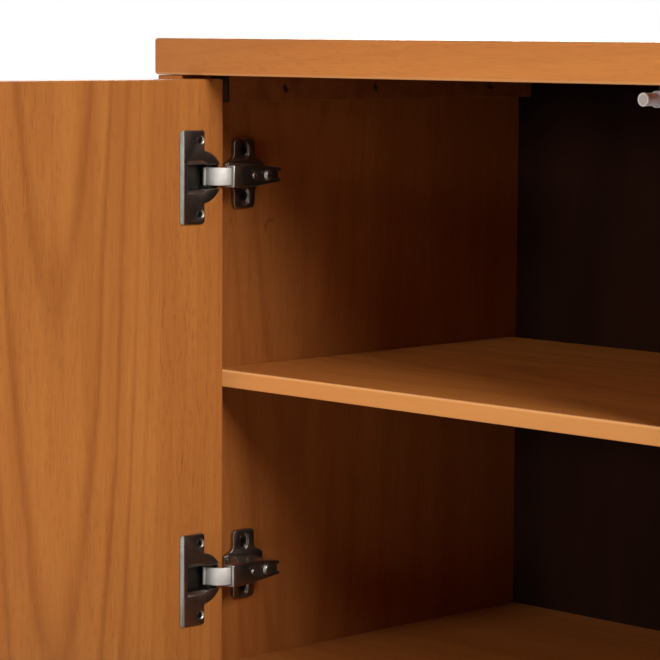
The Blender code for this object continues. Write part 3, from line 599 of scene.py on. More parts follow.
@dataclass(frozen=True)
class Metal:
    """Plated or bare metal with smudges and a rolled surface."""

    name: str
    colour: Colour
    dull: Colour
    roughness: float
    clouds: Mottle = Mottle((120.0, 120.0, 120.0), seed=2.0, detail=3.0, low=0.35, high=0.75)
    rolls: Mottle = Mottle((2600.0, 2600.0, 420.0), seed=7.0)
    smudge: float = 0.14
    roll_dullness: float = 0.05
    relief_depth: float = 0.02 * MM
    relief_strength: float = 0.15

    def material(self) -> Material:
        """The finish as a material.

        Returns:
            The material.
        """
        surface = Surface(self.name)
        cloud = self.clouds.noise(surface.kit, surface.place)
        rolled = self.rolls.noise(surface.kit, surface.place)
        colour = surface.kit.mix(self.clouds.marks(cloud), self.colour, self.dull)
        roughness = self.roughness + cloud * self.smudge + rolled * self.roll_dullness
        surface.set({"Base Color": colour, "Metallic": 1.0, "Roughness": roughness})
        surface.relief(rolled, self.relief_depth, self.relief_strength)
        return surface.material


@dataclass(frozen=True)
class Moulded:
    """Moulded plastic with a fine matt skin."""

    name: str
    colour: Colour
    shade: Colour
    roughness: float = 0.42
    clouds: Mottle = Mottle((90.0, 40.0, 90.0), seed=3.0, low=0.3, high=0.75)
    skins: Mottle = Mottle((3200.0, 3200.0, 3200.0), seed=5.0)
    skin_dullness: float = 0.12
    relief_depth: float = 0.05 * MM
    relief_strength: float = 0.2

    def material(self) -> Material:
        """The finish as a material.

        Returns:
            The material.
        """
        surface = Surface(self.name)
        cloud = self.clouds.spread(surface.kit, surface.place)
        skin = self.skins.noise(surface.kit, surface.place)
        colour = surface.kit.mix(cloud, self.colour, self.shade)
        surface.set({"Base Color": colour, "Roughness": self.roughness + skin * self.skin_dullness})
        surface.relief(skin, self.relief_depth, self.relief_strength)
        return surface.material


@dataclass(frozen=True)
class FibreBoard:
    """Pressed fibre board with a dark mottled face and a bare rear."""

    rear_from: float
    name: str = "back_board"
    colour: Colour = srgb(30, 14, 8)
    shade: Colour = srgb(22, 10, 5)
    rear_colour: Colour = srgb(128, 93, 62)
    rear_shade: Colour = srgb(119, 85, 55)
    clouds: Mottle = Mottle((30.0, 30.0, 5.0), seed=4.0, detail=4.0, low=0.3, high=0.7)
    fibres: Mottle = Mottle((900.0, 900.0, 240.0), seed=6.0, detail=3.0, low=0.5, high=0.75)
    fibre_share: float = 0.35
    roughness: float = 0.58
    fibre_dullness: float = 0.15
    gloss: float = 0.06
    relief_depth: float = 0.08 * MM
    relief_strength: float = 0.35

    def material(self) -> Material:
        """The finish as a material.

        Returns:
            The material.
        """
        surface = Surface(self.name)
        kit = surface.kit
        cloud = self.clouds.spread(kit, surface.place)
        fibre = self.fibres.noise(kit, surface.place)
        rear = kit.maths("GREATER_THAN", surface.axes["Y"], self.rear_from)
        light = kit.mix(rear, self.colour, self.rear_colour)
        dark = kit.mix(rear, self.shade, self.rear_shade)
        board = kit.mix(cloud, light, dark)
        board = kit.mix(self.fibres.marks(fibre) * self.fibre_share, board, dark)
        roughness = self.roughness + fibre * self.fibre_dullness
        surface.set({"Base Color": board, "Roughness": roughness, "Specular IOR Level": self.gloss})
        surface.relief(fibre, self.relief_depth, self.relief_strength)
        return surface.material


def link_object(name: str, mesh: Mesh) -> Piece:
    """A new object at the origin with that mesh.

    Args:
        name: The object's name.
        mesh: Its mesh.

    Returns:
        The object.
    """
    piece = bpy.data.objects.new(name, mesh)
    bpy.context.scene.collection.objects.link(piece)
    return piece


def plain_mesh(holder: Piece) -> Mesh:
    """The mesh that an object's modifiers give."""
    graph = bpy.context.evaluated_depsgraph_get()
    return bpy.data.meshes.new_from_object(holder.evaluated_get(graph), depsgraph=graph)


def shade_round(mesh: Mesh) -> None:
    """Shade a mesh smooth, with its sharp edges kept."""
    mesh.shade_smooth()
    mesh.set_sharp_from_angle(angle=SHARP_ANGLE)


def lathe(name: str, profile: Pairs, place: Matrix, sides: int) -> Piece:
    """A turned piece.

    Args:
        name: The piece's name.
        profile: Radius and height pairs from one end of the axis to the other.
        place: Where the axis stands.
        sides: Facets round the axis.

    Returns:
        The piece.
    """
    bm = bmesh.new()
    verts = [bm.verts.new((radius, 0.0, level)) for radius, level in profile]
    edges = [bm.edges.new(pair) for pair in zip(verts, verts[1:])]
    turn = {"cent": (0.0, 0.0, 0.0), "axis": (0.0, 0.0, 1.0), "angle": FULL_TURN, "steps": sides}
    bmesh.ops.spin(bm, geom=verts + edges, use_merge=True, **turn)
    bmesh.ops.remove_doubles(bm, verts=bm.verts, dist=WELD)
    bmesh.ops.recalc_face_normals(bm, faces=bm.faces)
    if bm.calc_volume(signed=True) < 0.0:
        bmesh.ops.reverse_faces(bm, faces=bm.faces)
    bm.transform(place)
    mesh = bpy.data.meshes.new(name)
    bm.to_mesh(mesh)
    bm.free()
    shade_round(mesh)
    return link_object(name, mesh)


class Workshop:
    """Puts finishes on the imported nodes, and finished pieces on their bodies."""

    BEVEL_SEGMENTS = 2

    def __init__(self, frame: dict) -> None:
        """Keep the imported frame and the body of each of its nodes.

        Args:
            frame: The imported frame.
        """
        self.nodes = frame["nodes"]
        groups = frame["record"]["behaviour"]["bodies"]
        self.body_of = {node: body for body, members in groups.items() for node in members}

    def dress(self, node: str, material: Material) -> None:
        """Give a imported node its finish.

        Args:
            node: The node's name.
            material: The finish.
        """
        mesh = self.nodes[node].data
        mesh.materials.clear()
        mesh.materials.append(material)
        LOG.info("dressed %s with %s", node, material.name)

    def soften(self, node: str, width: float) -> Piece:
        """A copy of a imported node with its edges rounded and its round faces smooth.

        Args:
            node: The node's name.
            width: Width of the rounding.

        Returns:
            The copy.
        """
        bm = bmesh.new()
        bm.from_mesh(self.nodes[node].data)
        bmesh.ops.remove_doubles(bm, verts=bm.verts, dist=WELD)
        bmesh.ops.dissolve_limit(bm, angle_limit=FLAT_ANGLE, verts=bm.verts, edges=bm.edges)
        mesh = bpy.data.meshes.new(node)
        bm.to_mesh(mesh)
        bm.free()
        mesh.shade_smooth()
        holder = link_object(f"{node}_holder", mesh)
        bevel = holder.modifiers.new("rounded", "BEVEL")
        bevel.width = width
        bevel.segments = self.BEVEL_SEGMENTS
        bevel.limit_method = "ANGLE"
        bevel.angle_limit = SHARP_ANGLE
        bevel.use_clamp_overlap = False
        bevel.harden_normals = True
        rounded = plain_mesh(holder)
        bpy.data.objects.remove(holder, do_unlink=True)
        bpy.data.meshes.remove(mesh)
        return link_object(f"{node}_rounded", rounded)

    def place(self, piece: Piece, body: str, slot: str, *replaced: str) -> None:
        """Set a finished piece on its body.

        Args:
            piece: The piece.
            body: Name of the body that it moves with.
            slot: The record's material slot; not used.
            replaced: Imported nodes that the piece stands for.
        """
        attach(piece, body)
        if replaced:
            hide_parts(*replaced)
        LOG.info("placed %s on %s, %d faces", piece.name, body, len(piece.data.polygons))

    def swap(self, node: str, width: float, material: Material, slot: str) -> Piece:
        """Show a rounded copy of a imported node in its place.

        Args:
            node: The node's name.
            width: Width of the rounding.
            material: The copy's finish.
            slot: The record's material slot.

        Returns:
            The copy.
        """
        piece = self.soften(node, width)
        piece.data.materials.clear()
        piece.data.materials.append(material)
        self.place(piece, self.body_of[node], slot, node)
        return piece

    @staticmethod
    def part_finish(piece: Piece, material: Material, chosen: FaceTest) -> None:
        """Give some faces of a piece a finish of their own.

        Args:
            piece: The piece.
            material: The finish.
            chosen: Whether a face with that middle takes it.
        """
        piece.data.materials.append(material)
        last = len(piece.data.materials) - 1
        for face in piece.data.polygons:
            if chosen(face.center):
                face.material_index = last


class Side(Enum):
    """The two halves of the cabinet, by the way they lie along X."""

    LEFT = -1
    RIGHT = 1

    @property
    def word(self) -> str:
        """The side's name in node names."""
        return self.name.lower()

    @property
    def inward(self) -> Vector:
        """The way from this side to the middle of the cabinet."""
        return Vector((-self.value, 0.0, 0.0))


class Level(Enum):
    """The two hinges of a door, by their word in node names."""

    UPPER = "upper"
    LOWER = "lower"


class End(Enum):
    """The front and the rear of the cabinet, by their word in node names."""

    FRONT = "front"
    REAR = "rear"


@dataclass(frozen=True)
class Plan:
    """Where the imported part's main faces are, and the door's axis in the hinge frame."""

    inner_half_width: float
    front: float
    back: float
    ceiling: float
    slab_front: float
    shelf_front: float
    axis: Span = (12.8 * MM, 6.1 * MM)
    open_angle: float = math.radians(92.0)

    @classmethod
    def measured(cls) -> Plan:
        """The plan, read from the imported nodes.

        Returns:
            The plan.
        """
        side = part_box("left_side_panel")
        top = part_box("top_panel")
        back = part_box("back_panel")
        return cls(-side[1].x, side[0].y, back[1].y, top[0].z, top[0].y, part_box("left_shelf")[0].y)

    def spot(self, side: Side, x: float, y: float, z: float) -> Vector:
        """A place in the hinge frame, seen from the whole cabinet."""
        return Vector((side.value * (self.inner_half_width - x), self.front + y, z))

    def door_spot(self, side: Side, x: float, y: float, z: float) -> Vector:
        """A place on the closed door, where it is with the door open.

        Args:
            side: The door's side.
            x: Distance from the side panel with the door closed.
            y: Distance behind the carcass front with the door closed.
            z: Height.

        Returns:
            The place.
        """
        away = Vector((x - self.axis[0], y - self.axis[1]))
        away.rotate(Matrix.Rotation(-self.open_angle, 2))
        return self.spot(side, self.axis[0] + away.x, self.axis[1] + away.y, z)

    def door_aim(self, side: Side) -> Vector:
        """The way the inner face of an open door faces."""
        return (self.door_spot(side, 0.0, 1.0, 0.0) - self.door_spot(side, 0.0, 0.0, 0.0)).normalized()


class Head(Enum):
    """Heads of unit radius: radius of the flat on top, rise of the dome, reach of the recess."""

    COUNTERSUNK = (0.90, 0.06, 0.52)
    PAN = (0.62, 0.42, 0.46)
    NAIL = (0.80, 0.10, 0.0)


@dataclass(frozen=True)
class Spot:
    """Where a fixing sits: the middle of its head, the way it faces and its radius."""

    place: Vector
    aim: Vector
    radius: float


class Fixings:
    """Screws and nails, placed by one Geometry Nodes tree. Sizes are shares of a head's radius."""

    SIDES = 28
    SHOULDER_RISE = 0.75
    EDGE_RADIUS = 0.98
    EDGE_DEPTH = 0.08
    RECESS_ARMS = 4
    RECESS_HALF_WIDTH = 0.12
    RECESS_DEPTH = 0.42
    RECESS_FLOOR = (0.55, 0.8)
    SHANK_RADIUS = 0.46
    SHANK_DEPTH = 0.62

    def __init__(self) -> None:
        """Build the tree that sets out the heads."""
        self.tree = bpy.data.node_groups.new("fixings", "GeometryNodeTree")
        self.sockets = {}
        for name, kind in (
            ("Places", "NodeSocketGeometry"),
            ("Head", "NodeSocketObject"),
            ("Finish", "NodeSocketMaterial"),
            ("Turn Seed", "NodeSocketInt"),
        ):
            made = self.tree.interface.new_socket(name, in_out="INPUT", socket_type=kind)
            self.sockets[name] = made.identifier
        self.tree.interface.new_socket("Fixings", in_out="OUTPUT", socket_type="NodeSocketGeometry")
        self.build_tree()

    def build_tree(self) -> None:
        """Put a head on every place, turned to its aim and scaled to its radius."""
        kit = NodeKit(self.tree)
        given = kit.make("NodeGroupInput").outputs
        head = kit.make("GeometryNodeObjectInfo", inputs={"Object": given["Head"]})
        aim = kit.make("GeometryNodeInputNamedAttribute", {"data_type": "FLOAT_VECTOR"}, {"Name": "aim"})
        radius = kit.make("GeometryNodeInputNamedAttribute", {"data_type": "FLOAT"}, {"Name": "radius"})
        towards = {"Vector": aim.outputs["Attribute"]}
        facing = kit.make("FunctionNodeAlignRotationToVector", {"axis": "Z"}, towards)
        spread = {"Max": (0.0, 0.0, math.pi), "Seed": given["Turn Seed"]}
        drive = kit.make("FunctionNodeRandomValue", {"data_type": "FLOAT_VECTOR"}, spread)
        euler = kit.make("FunctionNodeEulerToRotation", inputs={"Euler": drive.outputs["Value"]})
        turning = {"Rotation": facing.outputs["Rotation"], "Rotate By": euler.outputs["Rotation"]}
        turned = kit.make("FunctionNodeRotateRotation", {"rotation_space": "LOCAL"}, turning)
        setting = {
            "Points": given["Places"],
            "Instance": head.outputs["Geometry"],
            "Rotation": turned.outputs["Rotation"],
            "Scale": radius.outputs["Attribute"],
        }
        heads = kit.make("GeometryNodeInstanceOnPoints", inputs=setting)
        real = kit.make("GeometryNodeRealizeInstances", inputs={"Geometry": heads.outputs["Instances"]})
        inked = {"Geometry": real.outputs["Geometry"], "Material": given["Finish"]}
        dressed = kit.make("GeometryNodeSetMaterial", inputs=inked)
        kit.make("NodeGroupOutput", inputs={"Fixings": dressed.outputs["Geometry"]})

    def head_mesh(self, head: Head) -> Mesh:
        """One head of unit radius that faces +Z from its middle.

        Args:
            head: The kind of head.

        Returns:
            The head's mesh.
        """
        flat, dome, reach = head.value
        levels = (
            (flat, dome),
            ((flat + 1.0) / 2.0, dome * self.SHOULDER_RISE),
            (1.0, 0.0),
            (self.EDGE_RADIUS, -self.EDGE_DEPTH),
            (self.SHANK_RADIUS, -self.SHANK_DEPTH),
        )
        bm = bmesh.new()
        angles = [FULL_TURN * step / self.SIDES for step in range(self.SIDES)]
        rings = [[bm.verts.new((r * math.cos(a), r * math.sin(a), z)) for a in angles] for r, z in levels]
        for upper, lower in zip(rings, rings[1:]):
            for step in range(self.SIDES):
                after = (step + 1) % self.SIDES
                bm.faces.new((upper[step], lower[step], lower[after], upper[after]))
        bm.faces.new(reversed(rings[-1]))
        if reach:
            self.cut_recess(bm, rings[0], reach, dome)
        else:
            bm.faces.new(rings[0])
        bmesh.ops.recalc_face_normals(bm, faces=bm.faces)
        mesh = bpy.data.meshes.new(f"head_{head.name.lower()}")
        bm.to_mesh(mesh)
        bm.free()
        shade_round(mesh)
        return mesh

    def cut_recess(self, bm: bmesh.types.BMesh, ring: list, reach: float, level: float) -> None:
        """Fill a head's flat round a crossed driver recess.

        Args:
            bm: The head in the making.
            ring: Vertices round the flat.
            reach: How far the cross reaches from the middle.
            level: Height of the flat.
        """
        half = self.RECESS_HALF_WIDTH
        corner = [(reach, -half), (reach, half), (half, half)]
        outline = []
        for turn in range(self.RECESS_ARMS):
            spin = Matrix.Rotation(turn * QUARTER_TURN, 2)
            outline += [spin @ Vector(point) for point in corner]
        narrow_x, narrow_y = self.RECESS_FLOOR
        low = level - self.RECESS_DEPTH
        brim = [bm.verts.new((point.x, point.y, level)) for point in outline]
        floor = [bm.verts.new((point.x * narrow_x, point.y * narrow_y, low)) for point in outline]
        count = len(brim)
        for step in range(count):
            after = (step + 1) % count
            bm.faces.new((brim[step], brim[after], floor[after], floor[step]))
        bm.faces.new(floor)
        loop = [bm.edges.get((brim[step], brim[(step + 1) % count])) for step in range(count)]
        rim = [bm.edges.get((ring[step], ring[(step + 1) % self.SIDES])) for step in range(self.SIDES)]
        bmesh.ops.triangle_fill(bm, use_beauty=True, edges=loop + rim)

    def set_out(self, name: str, head: Head, spots: Iterable[Spot], finish: Material) -> Piece:
        """Put heads on places and make the result a plain piece.

        Args:
            name: The piece's name.
            head: The kind of head.
            spots: Where the heads sit.
            finish: Their material.

        Returns:
            The piece.
        """
        spots = list(spots)
        points = bpy.data.meshes.new(f"{name}_places")
        points.from_pydata([spot.place for spot in spots], [], [])
        points.attributes.new("aim", "FLOAT_VECTOR", "POINT")
        points.attributes.new("radius", "FLOAT", "POINT")
        for index, spot in enumerate(spots):
            points.attributes["aim"].data[index].vector = spot.aim
            points.attributes["radius"].data[index].value = spot.radius
        template = link_object(f"{name}_head", self.head_mesh(head))
        holder = link_object(f"{name}_holder", points)
        modifier = holder.modifiers.new("fixings", "NODES")
        modifier.node_group = self.tree
        modifier[self.sockets["Head"]] = template
        modifier[self.sockets["Finish"]] = finish
        modifier[self.sockets["Turn Seed"]] = len(spots)
        mesh = plain_mesh(holder)
        holder.modifiers.remove(modifier)
        for used in (holder, template):
            bpy.data.objects.remove(used, do_unlink=True)
        return link_object(name, mesh)


@dataclass(frozen=True)
class Finishes:
    """The materials that the pieces share."""

    nickel: Material
    well: Material
    bright: Material
    steel: Material
    dark_screw: Material
    black_screw: Material
    plastic: Material
    rim: Material
    cap: Material
    saddle: Material
    board: Material

    @classmethod
    def made(cls, plan: Plan) -> Finishes:
        """Make every shared material.

        Args:
            plan: Where the main faces are.

        Returns:
            The materials.
        """
        rear_skin = 3.0 * MM
        return cls(
            nickel=Metal("black_nickel", srgb(160, 157, 149), srgb(140, 136, 128), 0.20).material(),
            # Painted shade: a darker copy of the black nickel for the deep faces of the hinge cups.
            well=Metal("well_nickel", srgb(74, 69, 63), srgb(60, 55, 50), 0.30).material(),
            bright=Metal("bright_nickel", srgb(212, 208, 202), srgb(200, 196, 190), 0.60).material(),
            steel=Metal("zinc_steel", srgb(188, 186, 180), srgb(160, 157, 150), 0.34).material(),
            dark_screw=Metal("dark_screw_steel", srgb(150, 143, 133), srgb(120, 113, 104), 0.24).material(),
            black_screw=Metal("black_screw_steel", srgb(64, 60, 56), srgb(48, 45, 42), 0.36).material(),
            # Painted light: the grey plastic is near white and cool, so the shaded latch rod, lit by warm
            # bounce, shows grey.
            plastic=Moulded("grey_plastic", srgb(238, 242, 248), srgb(228, 232, 238)).material(),
            # Painted shade: the tip's rim and dish are darker copies of that plastic, set against the
            # strong light on the tip.
            rim=Moulded("rim_plastic", srgb(196, 190, 184), srgb(186, 180, 174), 0.30).material(),
            cap=Moulded("cap_plastic", srgb(160, 152, 144), srgb(148, 140, 132), 0.30).material(),
            # Painted shade: a dark copy of the plastic for the housing beside and above the plunger's tube.
            saddle=Moulded("saddle_plastic", srgb(70, 68, 66), srgb(60, 58, 56)).material(),
            board=FibreBoard(plan.back - rear_skin).material(),
        )


@dataclass
class Carcass:
    """Top, sides, bottom, back, divider, shelves and cleats.

    The heart of an upright board is given by its place behind the carcass front and its height,
    and that of a level board by its X and Y.
    """

    plan: Plan
    wood: Veneer
    cleat_wood: Veneer = Veneer(
        honey=srgb(134, 78, 36),
        brown=srgb(114, 62, 28),
        # Painted shade: the cleat's front end is near black, standing in for the door's shadow there.
        band=srgb(34, 16, 8),
        late_share=0.3,
        worn_share=0.0,
        roughness=0.58,
        gloss=0.1,
    )
    # Painted shade: the sides and the bottom are darker as well as redder, so that the inside reads as
    # shaded.
    ruddy: Point = (0.745, 0.68, 0.665)
    mellow: Point = (1.0, 0.93, 0.94)
    # Painted light: the shelves take a lighter copy of the veneer.
    pale: Point = (1.16, 1.12, 1.1)
    side_heart_depth: float = 130.0 * MM
    left_heart: Span = (110.0 * MM, 420.0 * MM)
    right_heart: Span = (190.0 * MM, 500.0 * MM)
    divider_heart: Span = (160.0 * MM, 460.0 * MM)
    side_taper: float = 0.04
    divider_taper: float = 0.045
    knot: Span = (83.0 * MM, 577.0 * MM)
    level_heart_depth: float = 110.0 * MM
    top_heart: Span = (100.0 * MM, 190.0 * MM)
    # Painted shade on the top, darkest at its left end.
    top_ripened: Span = (-460.0 * MM, -200.0 * MM)
    top_lipping_share: float = 0.22
    bottom_heart: Span = (-200.0 * MM, 200.0 * MM)
    left_shelf_heart: Span = (-330.0 * MM, 210.0 * MM)
    right_shelf_heart: Span = (120.0 * MM, 210.0 * MM)
    cleat_heart: Span = (420.0 * MM, 200.0 * MM)
    cleat_heart_depth: float = 200.0 * MM
    cleat_taper: float = 0.02
    cleat_setback: float = 26.0 * MM
    cleat_width: float = 17.0 * MM
    cleat_height: float = 18.7 * MM
    cleat_side_holes: tuple[float, ...] = (56.0 * MM, 146.0 * MM, 268.0 * MM)
    cleat_top_holes: tuple[float, ...] = (26.0 * MM, 117.0 * MM, 230.0 * MM)
    cleat_screw_radius: float = 2.9 * MM
    cleat_screw_depth: float = 3.6 * MM
    pin_rounding: float = 0.2 * MM
    nail_radius: float = 2.6 * MM
    nail_inset: float = 8.0 * MM
    nails_across: int = 9
    nails_upright: int = 5

    def upright_boards(self) -> dict[str, Board]:
        """The sides and the divider.

        Returns:
            The boards by the node that each is cut for.
        """
        inner, front, deep = self.plan.inner_half_width, self.plan.front, self.side_heart_depth
        return {
            "left_side_panel": Board(
                name="left_side",
                grain=Grain.UPRIGHT,
                heart=(-inner - deep, front + self.left_heart[0], self.left_heart[1]),
                seed=11.0,
                heart_depth=deep,
                taper=self.side_taper,
                knot=(-inner, front + self.knot[0], self.knot[1]),
                tint=self.ruddy,
            ),
            "right_side_panel": Board(
                name="right_side",
                grain=Grain.UPRIGHT,
                heart=(inner + deep, front + self.right_heart[0], self.right_heart[1]),
                seed=12.0,
                heart_depth=deep,
                taper=self.side_taper,
                tint=self.ruddy,
            ),
            "centre_divider": Board(
                name="divider",
                grain=Grain.UPRIGHT,
                heart=(-deep, front + self.divider_heart[0], self.divider_heart[1]),
                seed=13.0,
                heart_depth=deep,
                taper=self.divider_taper,
            ),
        }

    def level_boards(self) -> dict[str, Board]:
        """The top, the bottom and the shelves.

        Returns:
            The boards by the node that each is cut for.
        """
        deep = self.level_heart_depth
        boards = {
            "top_panel": Board(
                name="top",
                grain=Grain.LEVEL,
                heart=(*self.top_heart, self.plan.ceiling - deep),
                seed=14.0,
                heart_depth=deep,
                lipping=(self.plan.slab_front, self.plan.ceiling),
                lipping_share=self.top_lipping_share,
                tint=self.mellow,
                ripened=self.top_ripened,
            ),
            "bottom_panel": Board(
                name="bottom",
                grain=Grain.LEVEL,
                heart=(*self.bottom_heart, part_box("bottom_panel")[0].z - deep),
                seed=15.0,
                heart_depth=deep,
                tint=self.ruddy,
            ),
        }
        low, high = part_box("left_shelf")
        for side, heart in ((Side.LEFT, self.left_shelf_heart), (Side.RIGHT, self.right_shelf_heart)):
            boards[f"{side.word}_shelf"] = Board(
                name=f"{side.word}_shelf",
                grain=Grain.LEVEL,
                heart=(*heart, low.z - deep),
                seed=16.0 + heart[0],
                heart_depth=deep,
                lipping=(self.plan.shelf_front, high.z),
                tint=self.pale,
            )
        return boards

    def cleat_board(self, side: Side) -> Board:
        """A cleat, with its front end painted dark as shade.

        Args:
            side: The side that it is on.

        Returns:
            The board.
        """
        x, y = self.cleat_heart
        return Board(
            name=f"{side.word}_cleat",
            grain=Grain.LEVEL,
            heart=(side.value * x, y, self.plan.ceiling - self.cleat_heart_depth),
            seed=21.0 + side.value,
            heart_depth=self.cleat_heart_depth,
            taper=self.cleat_taper,
            lipping=(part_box(f"{side.word}_top_cleat")[0].y, self.plan.ceiling),
            lipping_share=1.0,
        )

    def dress(self, shop: Workshop, finishes: Finishes) -> None:
        """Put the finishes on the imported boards, and show the shelf pins with rounded edges.

        Args:
            shop: Where pieces are finished.
            finishes: The shared materials.
        """
        for node, board in {**self.upright_boards(), **self.level_boards()}.items():
            shop.dress(node, self.wood.material(board))
        shop.dress("back_panel", finishes.board)
        for side in Side:
            shop.dress(f"{side.word}_top_cleat", self.cleat_wood.material(self.cleat_board(side)))
            for reach in ("outer", "inner"):
                for end in End:
                    pin = f"{side.word}_{reach}_{end.value}_shelf_pin"
                    shop.swap(pin, self.pin_rounding, finishes.steel, "zinc_steel")

    def cleat_spots(self) -> list[Spot]:
        """Where the screws sit in the holes of the cleats.

        Returns:
            The spots.
        """
        spots = []
        ceiling = self.plan.ceiling
        sunk = self.cleat_width - self.cleat_screw_depth
        level = ceiling - self.cleat_height + self.cleat_screw_depth
        down = Vector((0.0, 0.0, -1.0))
        for side in Side:
            for along in self.cleat_side_holes:
                y = self.cleat_setback + along
                place = self.plan.spot(side, sunk, y, ceiling - self.cleat_height / 2.0)
                spots.append(Spot(place, side.inward, self.cleat_screw_radius))
            for along in self.cleat_top_holes:
                y = self.cleat_setback + along
                place = self.plan.spot(side, self.cleat_width / 2.0, y, level)
                spots.append(Spot(place, down, self.cleat_screw_radius))
        return spots

    def back_nails(self) -> list[Spot]:
        """Where the nails of the back board sit.

        Returns:
            The spots.
        """
        low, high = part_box("back_panel")
        inset = self.nail_inset
        aim = Vector((0.0, 1.0, 0.0))
        places = []
        for step in range(self.nails_across):
            x = low.x + inset + (high.x - low.x - 2.0 * inset) * step / (self.nails_across - 1)
            places += [(x, low.z + inset), (x, high.z - inset)]
        for step in range(1, self.nails_upright):
            z = low.z + (high.z - low.z) * step / self.nails_upright
            places += [(x, z) for x in (low.x + inset, 0.0, high.x - inset)]
        return [Spot(Vector((x, high.y, z)), aim, self.nail_radius) for x, z in places]

    def fix(self, shop: Workshop, fixings: Fixings, finishes: Finishes) -> None:
        """Put the screws in the cleats and the nails in the back.

        Args:
            shop: Where pieces are finished.
            fixings: Makes screws and nails.
            finishes: The shared materials.
        """
        spots = self.cleat_spots()
        screws = fixings.set_out("cleat_screws", Head.COUNTERSUNK, spots, finishes.dark_screw)
        shop.place(screws, "cabinet", "zinc_steel")
        nails = fixings.set_out("back_nails", Head.NAIL, self.back_nails(), finishes.steel)
        shop.place(nails, "cabinet", "zinc_steel")


@dataclass
class Door:
    """One inset door with its latch strike. Its veneer's heart is given by its Y and Z."""

    side: Side
    plan: Plan
    wood: Veneer
    left_heart: Span = (-97.0 * MM, 596.0 * MM)
    right_heart: Span = (-210.0 * MM, 410.0 * MM)
    heart_x: float = 100.0 * MM
    heart_depth: float = 90.0 * MM
    taper: float = 0.036
    thickness: float = 18.0 * MM
    strike_x: float = 387.5 * MM
    strike_face: float = 19.3 * MM
    strike_rounding: float = 0.25 * MM
    strike_screw_radius: float = 2.2 * MM
    strike_screw_depth: float = 0.05 * MM

    def dress(self, shop: Workshop, finishes: Finishes) -> None:
        """Put the finish on the door and its strike.

        Args:
            shop: Where pieces are finished.
            finishes: The shared materials.
        """
        word = self.side.word
        face = self.plan.door_spot(self.side, self.heart_x, self.thickness, 0.0)
        heart = self.left_heart if self.side is Side.LEFT else self.right_heart
        board = Board(
            name=f"{word}_door",
            grain=Grain.UPRIGHT,
            heart=(face.x + self.side.value * self.heart_depth, *heart),
            seed=31.0 + self.side.value,
            heart_depth=self.heart_depth,
            taper=self.taper,
        )
        shop.dress(f"{word}_door", self.wood.material(board))
        shop.swap(f"{word}_latch_strike", self.strike_rounding, finishes.steel, "zinc_steel")

    def strike_spot(self) -> Spot:
        """Where the screw of the strike sits.

        Returns:
            The spot.
        """
        low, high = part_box(f"{self.side.word}_latch_strike")
        face = self.strike_face - self.strike_screw_depth
        place = self.plan.door_spot(self.side, self.strike_x, face, (low.z + high.z) / 2.0)
        return Spot(place, self.plan.door_aim(self.side), self.strike_screw_radius)


@dataclass
class Hinge:
    """One concealed hinge: cup and link on the door's side, arm and plate on the cabinet."""

    side: Side
    level: Level
    plan: Plan
    cup_x: float = 23.7 * MM
    cup_rounding: float = 0.22 * MM
    link_rounding: float = 0.12 * MM
    arm_rounding: float = 0.22 * MM
    plate_rounding: float = 0.30 * MM
    hole_offset: float = 1.5 * MM
    hole_half_spacing: float = 25.0 * MM
    flange_face: float = 20.0 * MM
    flange_screw_radius: float = 2.4 * MM
    flange_screw_depth: float = 0.8 * MM
    well_from: float = 2.3 * MM
    plate_hole_y: float = 55.0 * MM
    plate_hole_half_spacing: float = 16.0 * MM
    plate_screw_level: float = 2.1 * MM
    plate_screw_radius: float = 3.6 * MM
    arm_screw_y: float = 38.5 * MM
    arm_screw_level: float = 31.5 * MM
    arm_screw_radius: float = 2.35 * MM
    tail_screw_y: float = 52.0 * MM
    tail_screw_level: float = 31.1 * MM
    tail_screw_radius: float = 4.2 * MM

    @property
    def stem(self) -> str:
        """The start of the hinge's node names."""
        return f"{self.side.word}_{self.level.value}_hinge"

    @property
    def height(self) -> float:
        """Height of the hinge's middle."""
        low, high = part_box(f"{self.stem}_plate")
        return (low.z + high.z) / 2.0

    def build(self, shop: Workshop, finishes: Finishes) -> None:
        """Show the four parts with rounded edges, and the cup's deep faces in a darker nickel as painted
        shade.

        Args:
            shop: Where pieces are finished.
            finishes: The shared materials.
        """
        cup = shop.swap(f"{self.stem}_cup", self.cup_rounding, finishes.nickel, "black_nickel")
        aim = self.plan.door_aim(self.side)
        face = self.plan.door_spot(self.side, self.cup_x, self.flange_face, self.height)
        # Faces deep in the cup take the darker nickel as painted shade.
        shop.part_finish(cup, finishes.well, lambda middle: (face - middle).dot(aim) > self.well_from)
        shop.swap(f"{self.stem}_link", self.link_rounding, finishes.bright, "bright_nickel")
        shop.swap(f"{self.stem}_arm", self.arm_rounding, finishes.nickel, "black_nickel")
        shop.swap(f"{self.stem}_plate", self.plate_rounding, finishes.nickel, "black_nickel")

    def door_spots(self) -> list[Spot]:
        """Where the flange's screws sit on the open door.

        Returns:
            The spots.
        """
        aim = self.plan.door_aim(self.side)
        x = self.cup_x + self.hole_offset
        y = self.flange_face - self.flange_screw_depth
        levels = (self.height - self.hole_half_spacing, self.height + self.hole_half_spacing)
        places = [self.plan.door_spot(self.side, x, y, z) for z in levels]
        return [Spot(place, aim, self.flange_screw_radius) for place in places]

    def plate_spots(self) -> list[Spot]:
        """Where the plate's screws sit on the side panel.

        Returns:
            The spots.
        """
        levels = (self.height - self.plate_hole_half_spacing, self.height + self.plate_hole_half_spacing)
        places = [self.plan.spot(self.side, self.plate_screw_level, self.plate_hole_y, z) for z in levels]
        return [Spot(place, self.side.inward, self.plate_screw_radius) for place in places]

    def arm_spots(self) -> list[Spot]:
        """Where the arm's two screws sit on its roof.

        Returns:
            The spots.
        """
        adjust = self.plan.spot(self.side, self.arm_screw_level, self.arm_screw_y, self.height)
        clamp = self.plan.spot(self.side, self.tail_screw_level, self.tail_screw_y, self.height)
        aim = self.side.inward
        return [Spot(adjust, aim, self.arm_screw_radius), Spot(clamp, aim, self.tail_screw_radius)]


